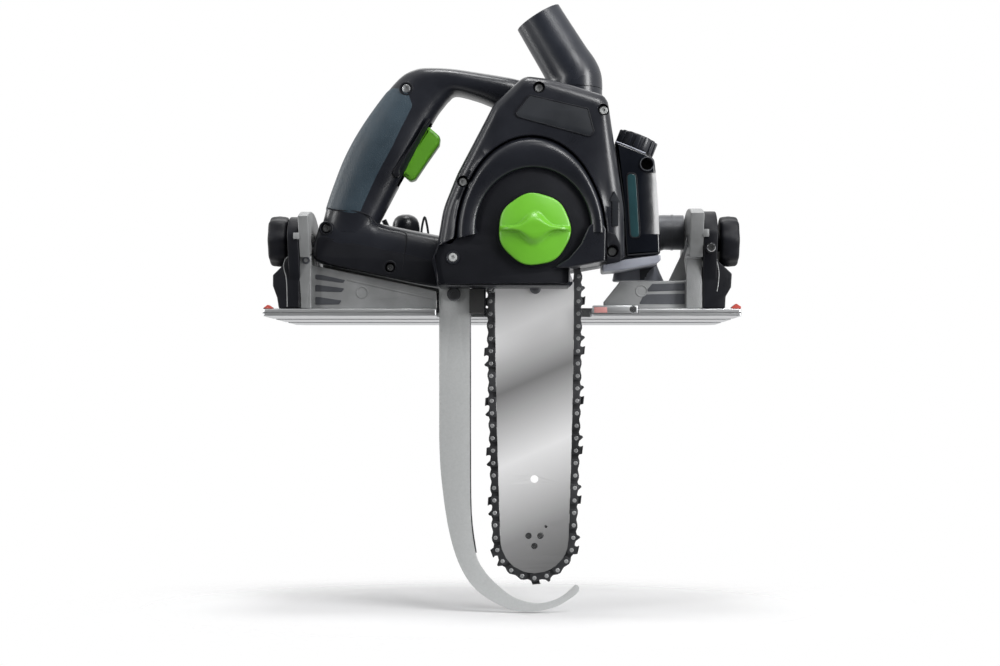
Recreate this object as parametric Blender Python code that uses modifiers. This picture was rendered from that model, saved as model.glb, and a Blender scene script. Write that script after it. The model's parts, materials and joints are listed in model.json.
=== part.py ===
"""Hand-held carpentry chain saw, modelled piece by piece at its real size.

Units are metres and +Z is up. The origin is the middle of the base plate's
sole, +X is the feed direction and +Y points from the bar towards the motor.
"""
import math

import bmesh
import bpy
from mathutils import Matrix, Vector
from mathutils.geometry import convex_hull_2d

# Clearances
GAP = 0.0003
RUNNING_GAP = 0.0005
OVERRUN = 0.003

# Base plate: the sole lies at z = 0
PLATE_WIDTH = 0.190
PLATE_THICKNESS = 0.0055
PLATE_CORNER = 0.008
NOTCH_REAR_CLEARANCE = 0.0018
NOTCH_FRONT_CLEARANCE = 0.0051
NOTCH_DEPTH = 0.024
BAR_SETBACK = 0.014
RAIL_GROOVE_WIDTH = 0.017
RAIL_GROOVE_DEPTH = 0.0022
RAIL_GROOVE_OFFSET = 0.034
GUARD_FLOOR = 0.0015
GUARD_LENGTH = 0.035
GUARD_DEPTH = 0.006
GUARD_HEIGHT = 0.0066

# Bar, chain and drive
STUD_HEIGHT = 0.0635
SPROCKET_RISE = 0.047
BAR_WIDTH = 0.0600
BAR_NOSE_WIDTH = 0.052
BAR_NOSE_DEPTH = 0.1696
BAR_TAIL_RISE = 0.017
BAR_TAIL_WIDTH = 0.022
BAR_PLATE_THICKNESS = 0.0014
BAR_CORE_THICKNESS = 0.0014
BAR_TENSION_TRAVEL = 0.005
GROOVE_DEPTH = 0.0056
BAR_HOLE_RADIUS = 0.003
BAR_HOLE_RISE = 0.0458
OIL_HOLE_RADIUS = 0.0011
OIL_HOLE_RISE = 0.0053
OIL_HOLE_OFFSET = 0.0087
CHAIN_PITCH = 0.009525
CHAIN_RIVET_RISE = 0.0036
CHAIN_STRAP_RISE = 0.0030
CHAIN_CUTTER_RISE = 0.0048
CHAIN_THICKNESS = 0.0048
CHAIN_TANG_THICKNESS = 0.0013
CHAIN_TANG_DEPTH = 0.0044
SPROCKET_PITCH_RADIUS = 0.0212
SPROCKET_WIDTH = 0.0076
NOSE_BEARING_RADIUS = 0.0090
NOSE_RIVET_RADIUS = 0.0022
NOSE_RIVET_CIRCLE = 0.0052
NOSE_TEETH = 11
STUD_RADIUS = 0.0045

# Riving knife
KNIFE_THICKNESS = 0.0026
KNIFE_TOP_HEIGHT = 0.045
KNIFE_SETBACK = 0.0343
KNIFE_SPAN = 0.108
KNIFE_CLEARANCE = 0.021
KNIFE_BOLT_RADIUS = 0.003
KNIFE_BOLT_HEAD = 0.005
KNIFE_BOLT_HEIGHT = 0.030

# Head and body
HEAD_CLEARANCE = 0.0213
BODY_REAR_MARGIN = 0.0256
BODY_FRONT_MARGIN = 0.0167
BODY_CROWN = 0.0456
BODY_FRONT_DEPTH = 0.037
CHAMBER_DEPTH = 0.007
GEARBOX_DEPTH = 0.038
BODY_WALL = 0.003
GEARBOX_WALL = 0.004
GEARBOX_FRONT_WALL = 0.005
BODY_EDGE = 0.003

# Sprocket cover and its knob
COVER_HALF_WIDTH = 0.051
COVER_ARCH_RISE = 0.070
COVER_PROUD = 0.002
COVER_RIM_DEPTH = 0.028
DISH_RADIUS = 0.045
DISH_DEPTH = 0.006
COVER_BOSS_RADIUS = 0.012
KNOB_RADIUS = 0.0262
KNOB_LENGTH = 0.009
KNOB_GRIP_LENGTH = 0.008
KNOB_GRIP_WIDTH = 0.013
KNOB_HUB_RADIUS = 0.006

# Rear handle
HANDLE_REACH = 0.1690
HANDLE_CLEARANCE = 0.0001
HANDLE_RISE = 0.0113
HANDLE_THICKNESS = 0.036
HANDLE_OFFSET = 0.006
HANDLE_WALL = 0.003
HANDLE_EDGE = 0.004
PAD_THICKNESS = 0.0016
TRIGGER_THICKNESS = 0.014
TRIGGER_TRAVEL_DEG = 8
LOCK_BUTTON_RADIUS = 0.005
LOCK_BUTTON_LENGTH = 0.010
LOCK_BUTTON_PROUD = 0.004

# Motor and gear train
MOTOR_RADIUS = 0.044
MOTOR_LENGTH = 0.076
MOTOR_WALL = 0.003
MOTOR_FLANGE = 0.005
MOTOR_CAP_LENGTH = 0.013
GEAR_RADIUS = 0.024
PINION_RADIUS = 0.0070
TOOTH_DEPTH = 0.0021
GEAR_WIDTH = 0.009
GEAR_TEETH = 31
PINION_TEETH = 9
MOTOR_AXIS_TILT_DEG = 10
SHAFT_RADIUS = 0.005
BEARING_RADIUS = 0.0105
BEARING_WIDTH = 0.008
BEARING_BOSS_WALL = 0.003
STATOR_INNER_RADIUS = 0.024
STATOR_LENGTH = 0.034
COMMUTATOR_RADIUS = 0.013
COMMUTATOR_LENGTH = 0.012
FAN_RADIUS = 0.037
FAN_LENGTH = 0.010
BRUSH_WIDTH = 0.006
BRUSH_LENGTH = 0.010
OIL_PUMP_RADIUS = 0.007
OIL_PUMP_LENGTH = 0.016

# Oil tank on the front side
TANK_LENGTH = 0.0272
TANK_CLEARANCE = 0.0218
TANK_HEIGHT = 0.0877
TANK_FLOOR = 0.0446
TANK_DEPTH = 0.033
TANK_SETBACK = 0.020
TANK_WALL = 0.0025
CAP_RADIUS = 0.0155
CAP_HEIGHT = 0.012
CAP_RIBS = 18
CAP_OFFSET = 0.0168
NECK_RADIUS = 0.009
NECK_HEIGHT = 0.007
WINDOW_WIDTH = 0.0068
WINDOW_HEIGHT = 0.0489
WINDOW_OFFSET = 0.0042
WINDOW_LEAN = 0.0028

# Dust port
PORT_BASE_RADIUS = 0.0215
PORT_MOUTH_RADIUS = 0.0187
PORT_WALL = 0.0025
PORT_OFFSET = 0.0315
PORT_SETBACK = 0.0255
PORT_NECK_HEIGHT = 0.012
PORT_LEG_RISE = 0.044
PORT_LEG_REACH = 0.0285
COLLAR_CLEARANCE = 0.0008
COLLAR_RISE = 0.007
COLLAR_DROP = 0.0015
COLLAR_LENGTH = 0.022

# Bevel brackets, all turning about the line through the bar's middle plane
SWIVEL_INNER_RADIUS = 0.0475
SWIVEL_OUTER_RADIUS = 0.0830
SWIVEL_BOLT_HEIGHT = 0.0574
SWIVEL_MIN_DEG = -10
SWIVEL_MAX_DEG = 60
SWIVEL_LAP_DEG = 6
FRONT_END = 0.0398
FRONT_SEGMENT_THICKNESS = 0.0102
REAR_END = 0.0364
REAR_SEGMENT_THICKNESS = 0.0078
FRONT_BRACKET_THICKNESS = 0.0105
REAR_BRACKET_THICKNESS = 0.0085
BRACKET_FOOT_LENGTH = 0.0125
BRACKET_FOOT_HEIGHT = 0.040
BRACKET_NEAR = 0.0125
BRACKET_FAR = 0.050
BRACKET_TOP_RADIUS = 0.024
FOOT_NEAR = 0.0215
CLAMP_BOLT_RADIUS = 0.0038
CLAMP_HEAD_RADIUS = 0.0075
CLAMP_KNOB_RADIUS = 0.0190
CLAMP_KNOB_LENGTH = 0.0142
CLAMP_STEM_RADIUS = 0.0078
FRONT_STEM_LENGTH = 0.0026
REAR_STEM_LENGTH = 0.0010
RIB_THICKNESS = 0.011
RIB_CLEARANCE = 0.0012
FRONT_RIB_LENGTH = 0.0642
FRONT_RIB_SLOPE = 0.013
FRONT_RIB_FOOT = 0.0066
FRONT_RIB_TOP = 0.027

# Links between the segments and the head
RAIL_SETBACK = 0.033
RAIL_THICKNESS = 0.014
RAIL_HEIGHT = 0.018
RAIL_FLOOR = 0.047
INLET_RADIUS = 0.011
INLET_HEIGHT = 0.017
INLET_REACH = 0.1010
FRONT_TUBE_RADIUS = 0.014
FRONT_TUBE_SETBACK = 0.034
FRONT_TUBE_TOP = 0.0672
FRONT_TUBE_LOW = 0.0425
CATCHER_LENGTH = 0.0110
CATCHER_DEPTH = 0.005
CATCHER_DROP = 0.0185

# Places worked out from the sizes above
BODY_CORNER_SHARE = 0.478
HEAD_REAR_REACH = HANDLE_REACH + HANDLE_CLEARANCE
HEAD_FRONT_REACH = COVER_HALF_WIDTH + BODY_FRONT_MARGIN + TANK_LENGTH + TANK_CLEARANCE
PLATE_LENGTH = REAR_END + HEAD_REAR_REACH + HEAD_FRONT_REACH + FRONT_END
BAR_X = REAR_END + HEAD_REAR_REACH - PLATE_LENGTH / 2
BAR_Y = -PLATE_WIDTH / 2 + BAR_SETBACK
SPROCKET_Z = STUD_HEIGHT + SPROCKET_RISE
PLATE_TOP = PLATE_THICKNESS + GAP
BAR_HALF = BAR_CORE_THICKNESS / 2 + GAP + BAR_PLATE_THICKNESS
BAR_HOLE_DEPTH = BAR_NOSE_DEPTH - BAR_HOLE_RISE
OIL_HOLE_DEPTH = BAR_NOSE_DEPTH - OIL_HOLE_RISE
CHAIN_RISE = CHAIN_RIVET_RISE + CHAIN_CUTTER_RISE
KNIFE_REACH = BAR_WIDTH / 2 + CHAIN_RISE + KNIFE_SETBACK
KNIFE_DROP = BAR_NOSE_DEPTH + BAR_NOSE_WIDTH / 2 + CHAIN_RISE + KNIFE_CLEARANCE
NOTCH_REAR = KNIFE_REACH + NOTCH_REAR_CLEARANCE - BAR_X
NOTCH_FRONT = BAR_X + BAR_WIDTH / 2 + CHAIN_RISE + NOTCH_FRONT_CLEARANCE
FRONT_SEGMENT_INSIDE = PLATE_LENGTH / 2 - FRONT_END
REAR_SEGMENT_INSIDE = PLATE_LENGTH / 2 - REAR_END
FRONT_RIB_START = FRONT_SEGMENT_INSIDE - FRONT_RIB_LENGTH
BODY_LEFT = BAR_X - COVER_HALF_WIDTH - BODY_REAR_MARGIN
BODY_LENGTH = BODY_REAR_MARGIN + COVER_HALF_WIDTH * 2 + BODY_FRONT_MARGIN
BODY_HEIGHT = STUD_HEIGHT + COVER_ARCH_RISE + BODY_CROWN - HEAD_CLEARANCE
BODY_NEAR = BAR_Y - BODY_FRONT_DEPTH
GEARBOX_NEAR = BAR_Y + CHAMBER_DEPTH
GEARBOX_FAR = GEARBOX_NEAR + GEARBOX_DEPTH
HANDLE_LEFT = HANDLE_CLEARANCE - REAR_SEGMENT_INSIDE
HANDLE_LENGTH = BODY_LEFT + BODY_LENGTH * BODY_CORNER_SHARE - HANDLE_LEFT
HANDLE_HEIGHT = BODY_HEIGHT + HANDLE_RISE
HANDLE_Y = BAR_Y + HANDLE_OFFSET
CENTRE_DISTANCE = GEAR_RADIUS + PINION_RADIUS + GAP
MOTOR_X = BAR_X + CENTRE_DISTANCE * math.sin(math.radians(MOTOR_AXIS_TILT_DEG))
MOTOR_Z = SPROCKET_Z - CENTRE_DISTANCE * math.cos(math.radians(MOTOR_AXIS_TILT_DEG))
FLANGE_NEAR = GEARBOX_FAR + GAP
MOTOR_FAR = FLANGE_NEAR + MOTOR_LENGTH
CAP_FAR = MOTOR_FAR + GAP + MOTOR_CAP_LENGTH

# Outlines, as shares of the length and height of the piece, from its lower left corner
BODY_REAR_SHARES = [
    (0.026, 0.0), (0.0, 0.133), (0.026, 0.192), (0.057, 0.368),
    (0.13, 0.535), (0.284, 0.803), (0.318, 0.864), (BODY_CORNER_SHARE, 1.0),
]
BODY_TOP_SHARES = [(0.596, 0.986), (0.73, 0.954), (0.889, 0.908)]
BODY_FRONT_SHARES = [(0.912, 0.875), (0.994, 0.37), (1.0, 0.138)]
BODY_SOLE_SHARES = [(0.889, 0.1185), (0.7165, 0.09), (0.714, 0.0)]
HANDLE_OUTER_SHARES = [
    (1.0, 0.95), (0.905, 0.969), (0.77, 0.986), (0.537, 1.0), (0.48, 0.996),
    (0.421, 0.964), (0.354, 0.895), (0.266, 0.784), (0.198, 0.682),
    (0.102, 0.479), (0.068, 0.389), (0.034, 0.267), (0.005, 0.203),
    (0.003, 0.157), (0.026, 0.125), (0.0925, 0.102),
]
HANDLE_SOLE_SHARES = [(0.594, 0.0)]
HANDLE_OPENING_SHARES = [
    (0.576, 0.246), (0.308, 0.296), (0.327, 0.329), (0.423, 0.494), (0.562, 0.752),
    (0.616, 0.826), (0.654, 0.862), (0.673, 0.878), (0.855, 0.842),
]
PAD_INNER_SHARES = [
    (0.466, 0.835), (0.441, 0.769), (0.365, 0.633), (0.317, 0.531), (0.279, 0.439),
    (0.250, 0.347),
]
PAD_OUTER_SHARES = [(0.060, 0.367), (0.093, 0.479), (0.19, 0.684), (0.258, 0.786), (0.356, 0.876)]
TRIGGER_FACE_SHARES = [
    (0.5445, 0.734), (0.604, 0.684), (0.588, 0.640), (0.5375, 0.572),
    (0.480, 0.498), (0.4575, 0.488), (0.4235, 0.524),
]
TRIGGER_BACK_SHARES = [(0.385, 0.560), (0.470, 0.745), (0.512, 0.762)]
TRIGGER_PIVOT_SHARES = (0.508, 0.738)
KNIFE_OUTER_SHARES = [
    (0.0, 0.418), (0.014, 0.540), (0.061, 0.706), (0.132, 0.828), (0.234, 0.912),
    (0.363, 0.961), (0.518, 0.994), (0.680, 1.0), (0.834, 0.981), (0.940, 0.951), (0.985, 0.936),
]
KNIFE_INNER_SHARES = [
    (0.985, 0.905), (0.962, 0.908), (0.878, 0.944), (0.792, 0.964), (0.672, 0.971),
    (0.535, 0.953), (0.416, 0.911), (0.321, 0.863), (0.257, 0.800), (0.222, 0.665),
    (0.217, 0.418),
]
TANK_SHARES = [
    (0.0, 1.0), (0.640, 0.883), (0.790, 0.854), (0.860, 0.820), (0.908, 0.632), (0.960, 0.379),
    (1.0, 0.033), (0.057, 0.0),
]
SWITCH_SHARES = [
    (0.262, 0.520), (0.325, 0.500), (0.325, 0.560), (0.405, 0.735), (0.360, 0.740),
]
BOARD_SHARES = [(0.250, 0.150), (0.450, 0.105), (0.450, 0.118), (0.250, 0.163)]
LOCK_BUTTON_SHARES = (0.565, 0.905)
WINDOW_FLOOR_SHARE = 0.158
CAP_GROOVE_SHARE = 0.25
PORT_BEND_SHARE = 0.16
TOOTH_SHARES = [(0.0, 0.0), (0.3, 0.0), (0.42, 1.0), (0.58, 1.0), (0.7, 0.0)]
PINION_BORE_SHARE = 0.6
COVER_SOLE_SHARE = 0.68
BAR_SHOULDER_SHARE = 0.4
NECK_SHARE = 0.6
FRONT_TUBE_SHARES = [(0.0, 0.0), (0.35, 0.0), (0.5, 0.3), (0.62, 0.8), (0.78, 1.0), (1.0, 1.0)]
KNIFE_BOSS_SHARE = 0.42

# Counts
COVER_ARCH_STEPS = 14
FAN_BLADES = 9
CHAIN_CUTTER_EVERY = 4
LINK_STEPS = 4
TRIGGER_STEPS = 2
BAR_TAIL_STEPS = 6
BAR_SIDE_STEPS = 8
BAR_NOSE_STEPS = 18

COLOURS = {
    "black_plastic": ((0.020, 0.022, 0.026), 0.45, 0.0),
    "gloss_black": ((0.012, 0.013, 0.016), 0.18, 0.0),
    "grip_grey": ((0.075, 0.095, 0.115), 0.75, 0.0),
    "green_plastic": ((0.155, 0.510, 0.035), 0.35, 0.0),
    "grey_casting": ((0.330, 0.340, 0.350), 0.50, 0.8),
    "dark_casting": ((0.060, 0.068, 0.080), 0.45, 0.6),
    "plate_alloy": ((0.620, 0.630, 0.640), 0.35, 0.9),
    "bar_steel": ((0.700, 0.700, 0.700), 0.20, 1.0),
    "knife_steel": ((0.420, 0.430, 0.430), 0.35, 1.0),
    "chain_steel": ((0.120, 0.120, 0.125), 0.35, 1.0),
    "bright_steel": ((0.560, 0.570, 0.580), 0.25, 1.0),
    "copper": ((0.720, 0.330, 0.160), 0.40, 1.0),
    "carbon": ((0.030, 0.030, 0.032), 0.70, 0.0),
    "iron_stack": ((0.200, 0.205, 0.215), 0.50, 0.9),
    "circuit_green": ((0.030, 0.180, 0.080), 0.50, 0.0),
    "rubber": ((0.025, 0.025, 0.025), 0.80, 0.0),
    "clear_window": ((0.150, 0.430, 0.430), 0.10, 0.0),
}

# Local axes of flat pieces: outline right, outline up, thickness
SLAB_FRAMES = {
    "X": Matrix(((0, 0, 1), (1, 0, 0), (0, 1, 0))),
    "Y": Matrix(((1, 0, 0), (0, 0, -1), (0, 1, 0))),
    "Z": Matrix.Identity(3),
}
# Local axes of turned pieces: the third axis is the axis of the turning
TURN_FRAMES = {
    "X": Matrix(((0, 0, 1), (1, 0, 0), (0, 1, 0))),
    "Y": Matrix(((0, 1, 0), (0, 0, 1), (1, 0, 0))),
    "Z": Matrix.Identity(3),
}
WELD = 0.00001
CURVE_STEPS = 3
SMOOTH_UNDER_DEG = 35
ROUND_STEPS = 28


def clear_scene():
    for item in list(bpy.data.objects):
        bpy.data.objects.remove(item, do_unlink=True)


def make_collection(name):
    collection = bpy.data.collections.new(name)
    bpy.context.scene.collection.children.link(collection)
    return collection


clear_scene()
SAW = make_collection("carpentry_chain_saw")
CUTTERS = make_collection("cutters")


def material(name):
    found = bpy.data.materials.get(name)
    if found:
        return found
    colour, roughness, metallic = COLOURS[name]
    made = bpy.data.materials.new(name)
    made.use_nodes = True
    shader = made.node_tree.nodes["Principled BSDF"]
    shader.inputs["Base Color"].default_value = (*colour, 1.0)
    shader.inputs["Roughness"].default_value = roughness
    shader.inputs["Metallic"].default_value = metallic
    return made


def place(mesh, name, finish, location, frame):
    """Link a mesh as a part, or as a hidden cutter when it has no finish."""
    made = bpy.data.objects.new(name, mesh)
    made.matrix_world = Matrix.Translation(location) @ frame.to_4x4()
    if finish:
        SAW.objects.link(made)
        mesh.materials.append(material(finish))
    else:
        CUTTERS.objects.link(made)
        made.hide_render = True
        made.display_type = "WIRE"
    bpy.context.view_layer.update()
    return made


def mesh_from_curve(curve, name, finish, location, frame):
    """Turn a curve into a welded, closed mesh in the curve's own place."""
    helper = bpy.data.objects.new(name + "_curve", curve)
    bpy.context.scene.collection.objects.link(helper)
    bpy.context.view_layer.update()
    evaluated = helper.evaluated_get(bpy.context.evaluated_depsgraph_get())
    mesh = bpy.data.meshes.new_from_object(evaluated)
    bpy.data.objects.remove(helper, do_unlink=True)
    shape = bmesh.new()
    shape.from_mesh(mesh)
    bmesh.ops.remove_doubles(shape, verts=shape.verts, dist=WELD)
    bmesh.ops.recalc_face_normals(shape, faces=shape.faces)
    shape.to_mesh(mesh)
    shape.free()
    mesh.name = name
    return place(mesh, name, finish, location, frame)


def slab(name, loops, axis, start, end, finish=None, origin=(0, 0, 0)):
    """A flat piece: outline loops in the plane across an axis, filled from start to end."""
    frame = SLAB_FRAMES[axis]
    right, up, out = (Vector(column) for column in frame.transposed())
    base = Vector(origin)
    curve = bpy.data.curves.new(name, "CURVE")
    curve.dimensions = "2D"
    curve.fill_mode = "BOTH"
    curve.extrude = abs(end - start) / 2
    for loop in loops:
        spline = curve.splines.new("POLY")
        spline.points.add(len(loop) - 1)
        spline.use_cyclic_u = True
        for point, (across, along) in zip(spline.points, loop):
            point.co = (across - base.dot(right), along - base.dot(up), 0, 1)
    middle = (start + end) / 2
    thickness_axis = Vector(abs(value) for value in out)
    shift = thickness_axis * (middle - base.dot(thickness_axis))
    made = mesh_from_curve(curve, name, finish, (0, 0, 0), frame)
    for vertex in made.data.vertices:
        vertex.co += frame.inverted() @ shift
    made.location = base
    bpy.context.view_layer.update()
    return made


def turned(name, profile, axis, centre, finish=None, steps=ROUND_STEPS, closed=False):
    """A turned piece: (radius, height) points, top to bottom along the outer side."""
    frame = TURN_FRAMES[axis] if isinstance(axis, str) else axis
    mesh = bpy.data.meshes.new(name)
    edges = [(index, index + 1) for index in range(len(profile) - 1)]
    if closed:
        edges.append((len(profile) - 1, 0))
    mesh.from_pydata([(radius, 0, height) for radius, height in profile], edges, [])
    made = place(mesh, name, finish, centre, frame)
    screw = made.modifiers.new("turn", "SCREW")
    screw.steps = steps
    screw.render_steps = steps
    screw.use_merge_vertices = True
    screw.merge_threshold = WELD
    return made


def rod(name, radius, low, high, axis, centre, finish=None, steps=ROUND_STEPS):
    return turned(name, [(0, high), (radius, high), (radius, low), (0, low)],
                  axis, centre, finish, steps)


def ring(name, outer, inner, low, high, axis, centre, finish=None, steps=ROUND_STEPS):
    profile = [(outer, high), (outer, low), (inner, low), (inner, high)]
    return turned(name, profile, axis, centre, finish, steps, closed=True)


def box(name, low, high, finish=None, origin=None):
    low = Vector(low)
    high = Vector(high)
    base = Vector(origin) if origin else (low + high) / 2
    size = high - low
    shape = bmesh.new()
    bmesh.ops.create_cube(shape, size=1, matrix=Matrix.Diagonal((*size, 1)))
    bmesh.ops.translate(shape, verts=shape.verts, vec=(low + high) / 2 - base)
    mesh = bpy.data.meshes.new(name)
    shape.to_mesh(mesh)
    shape.free()
    return place(mesh, name, finish, base, Matrix.Identity(3))


def tube(name, points, radii, finish=None, sides=4):
    """A round tube through the points, with its own radius at each."""
    curve = bpy.data.curves.new(name, "CURVE")
    curve.dimensions = "3D"
    curve.bevel_depth = 1
    curve.bevel_resolution = sides
    curve.use_fill_caps = True
    spline = curve.splines.new("POLY")
    spline.points.add(len(points) - 1)
    for point, place_on, radius in zip(spline.points, points, radii):
        point.co = (*place_on, 1)
        point.radius = radius
    return mesh_from_curve(curve, name, finish, (0, 0, 0), Matrix.Identity(3))


def cut(target, *cutters):
    for cutter in cutters:
        modifier = target.modifiers.new("cut_" + cutter.name, "BOOLEAN")
        modifier.operation = "DIFFERENCE"
        modifier.object = cutter
    return target


def join(target, *others):
    for other in others:
        modifier = target.modifiers.new("join_" + other.name, "BOOLEAN")
        modifier.operation = "UNION"
        modifier.object = other
    return target


def soften(target, width, sides="high", steps=1):
    """Round the outline edges of a slab in its high or low flat face, or in both."""
    mesh = target.data
    weights = mesh.attributes.new("bevel_weight_edge", "FLOAT", "EDGE")
    heights = [vertex.co.z for vertex in mesh.vertices]
    faces = {"high": (max(heights),), "low": (min(heights),),
             "both": (max(heights), min(heights))}[sides]
    for edge in mesh.edges:
        ends = [mesh.vertices[index].co.z for index in edge.vertices]
        for face in faces:
            if all(abs(end - face) < WELD for end in ends):
                weights.data[edge.index].value = 1
    bevel = target.modifiers.new("edge", "BEVEL")
    bevel.limit_method = "WEIGHT"
    bevel.width = width
    bevel.segments = steps
    return target


def arc(centre, radius, start_deg, end_deg, steps):
    """Points on a circle, with angles from the second axis towards the first."""
    points = []
    for index in range(steps + 1):
        angle = math.radians(start_deg + (end_deg - start_deg) * index / steps)
        points.append((centre[0] + radius * math.sin(angle),
                       centre[1] + radius * math.cos(angle)))
    return points


def spread(shares, left, bottom, length, height):
    return [(left + across * length, bottom + up * height) for across, up in shares]


def area_of(points):
    total = 0
    for (x0, z0), (x1, z1) in zip(points, points[1:] + points[:1]):
        total += x0 * z1 - x1 * z0
    return total / 2


def inset(points, distance):
    """Move every side of an outline inwards by a distance."""
    sign = 1 if area_of(points) > 0 else -1
    count = len(points)
    moved = []
    for index in range(count):
        here = Vector(points[index])
        before = (here - Vector(points[index - 1])).normalized()
        after = (Vector(points[(index + 1) % count]) - here).normalized()
        normal_before = Vector((-before.y, before.x)) * sign
        normal_after = Vector((-after.y, after.x)) * sign
        mitre = normal_before + normal_after
        scale = distance / (1 + normal_before.dot(normal_after))
        moved.append(tuple(here + mitre * scale))
    return moved


def smoothed(points):
    """A rounder open line through the same points."""
    ends = [points[0]] + points + [points[-1]]
    result = []
    for group in zip(ends, ends[1:], ends[2:], ends[3:]):
        before, here, there, after = (Vector(point) for point in group)
        for step in range(CURVE_STEPS):
            share = step / CURVE_STEPS
            bend = (before * 2 - here * 5 + there * 4 - after) * share ** 2
            twist = (here * 3 - before - there * 3 + after) * share ** 3
            result.append(tuple(here + ((there - before) * share + bend + twist) / 2))
    return result + [points[-1]]


def body_outline():
    shares = BODY_REAR_SHARES + BODY_TOP_SHARES + BODY_FRONT_SHARES + BODY_SOLE_SHARES
    return spread(shares, BODY_LEFT, HEAD_CLEARANCE, BODY_LENGTH, BODY_HEIGHT)


def head_empty():
    empty = bpy.data.objects.new("head_swing", None)
    empty.location = (0, BAR_Y, 0)
    bpy.context.scene.collection.objects.link(empty)
    bpy.context.view_layer.update()
    return empty


def base_plate():
    half_length = PLATE_LENGTH / 2
    half_width = PLATE_WIDTH / 2
    notch = NOTCH_DEPTH - half_width
    outline = [
        (-half_length, -half_width), (-NOTCH_REAR, -half_width), (-NOTCH_REAR, notch),
        (NOTCH_FRONT, notch), (NOTCH_FRONT, -half_width), (half_length, -half_width),
        (half_length, half_width - PLATE_CORNER), (half_length - PLATE_CORNER, half_width),
        (PLATE_CORNER - half_length, half_width), (-half_length, half_width - PLATE_CORNER),
    ]
    plate = slab("base_plate", [outline], "Z", 0, PLATE_THICKNESS, "plate_alloy")
    for index, offset in enumerate((RAIL_GROOVE_OFFSET, -RAIL_GROOVE_OFFSET)):
        groove = box(f"cut_rail_groove_{index}",
                     (-half_length - OVERRUN, offset - RAIL_GROOVE_WIDTH / 2, -OVERRUN),
                     (half_length + OVERRUN, offset + RAIL_GROOVE_WIDTH / 2, RAIL_GROOVE_DEPTH))
        cut(plate, groove)
    near = -half_width
    pocket = box("cut_guard",
                 (NOTCH_FRONT - OVERRUN, near - OVERRUN, GUARD_FLOOR),
                 (NOTCH_FRONT + GUARD_LENGTH, near + GUARD_DEPTH, PLATE_THICKNESS + OVERRUN))
    cut(plate, pocket)
    box("splinter_guard", (NOTCH_FRONT, near, GUARD_FLOOR + GAP),
        (NOTCH_FRONT + GUARD_LENGTH - GAP, near + GUARD_DEPTH - GAP,
         GUARD_FLOOR + GUARD_HEIGHT), "green_plastic")


def segment(name, inside, outside, head_side):
    """The swivel segment: a ring sector about the tilt line, with a stepped slot."""
    centre = (BAR_Y, 0)
    slot_lap = SWIVEL_LAP_DEG * 2
    start = SWIVEL_MIN_DEG - slot_lap
    end = SWIVEL_MAX_DEG + slot_lap
    outline = arc(centre, SWIVEL_OUTER_RADIUS, start, end, 20)
    outline += arc(centre, SWIVEL_INNER_RADIUS, end, start, 20)
    made = slab(name, [outline], "X", min(inside, outside), max(inside, outside),
                "grey_casting", origin=(0, BAR_Y, 0))
    slots = (("slot", CLAMP_BOLT_RADIUS, inside, outside),
             ("recess", CLAMP_HEAD_RADIUS, inside, (inside + outside) / 2))
    for label, radius, low, high in slots:
        half = radius + RUNNING_GAP
        loop = arc(centre, SWIVEL_BOLT_HEIGHT + half, SWIVEL_MIN_DEG, SWIVEL_MAX_DEG, 16)
        loop += end_cap(centre, SWIVEL_MAX_DEG, half, 1)
        loop += arc(centre, SWIVEL_BOLT_HEIGHT - half, SWIVEL_MAX_DEG, SWIVEL_MIN_DEG, 16)
        loop += end_cap(centre, SWIVEL_MIN_DEG, half, -1)
        if label == "slot":
            low, high = low - head_side * OVERRUN, high + head_side * OVERRUN
        else:
            low = low - head_side * OVERRUN
        cut(made, slab(f"cut_{name}_{label}", [loop], "X", min(low, high), max(low, high)))
    return made


def end_cap(centre, angle_deg, half, sign):
    """The half round end of a curved slot."""
    angle = math.radians(angle_deg)
    middle = (centre[0] + SWIVEL_BOLT_HEIGHT * math.sin(angle),
              centre[1] + SWIVEL_BOLT_HEIGHT * math.cos(angle))
    if sign > 0:
        return arc(middle, half, angle_deg, angle_deg + 180, 6)[1:-1]
    return arc(middle, half, angle_deg + 180, angle_deg + 360, 6)[1:-1]


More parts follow.
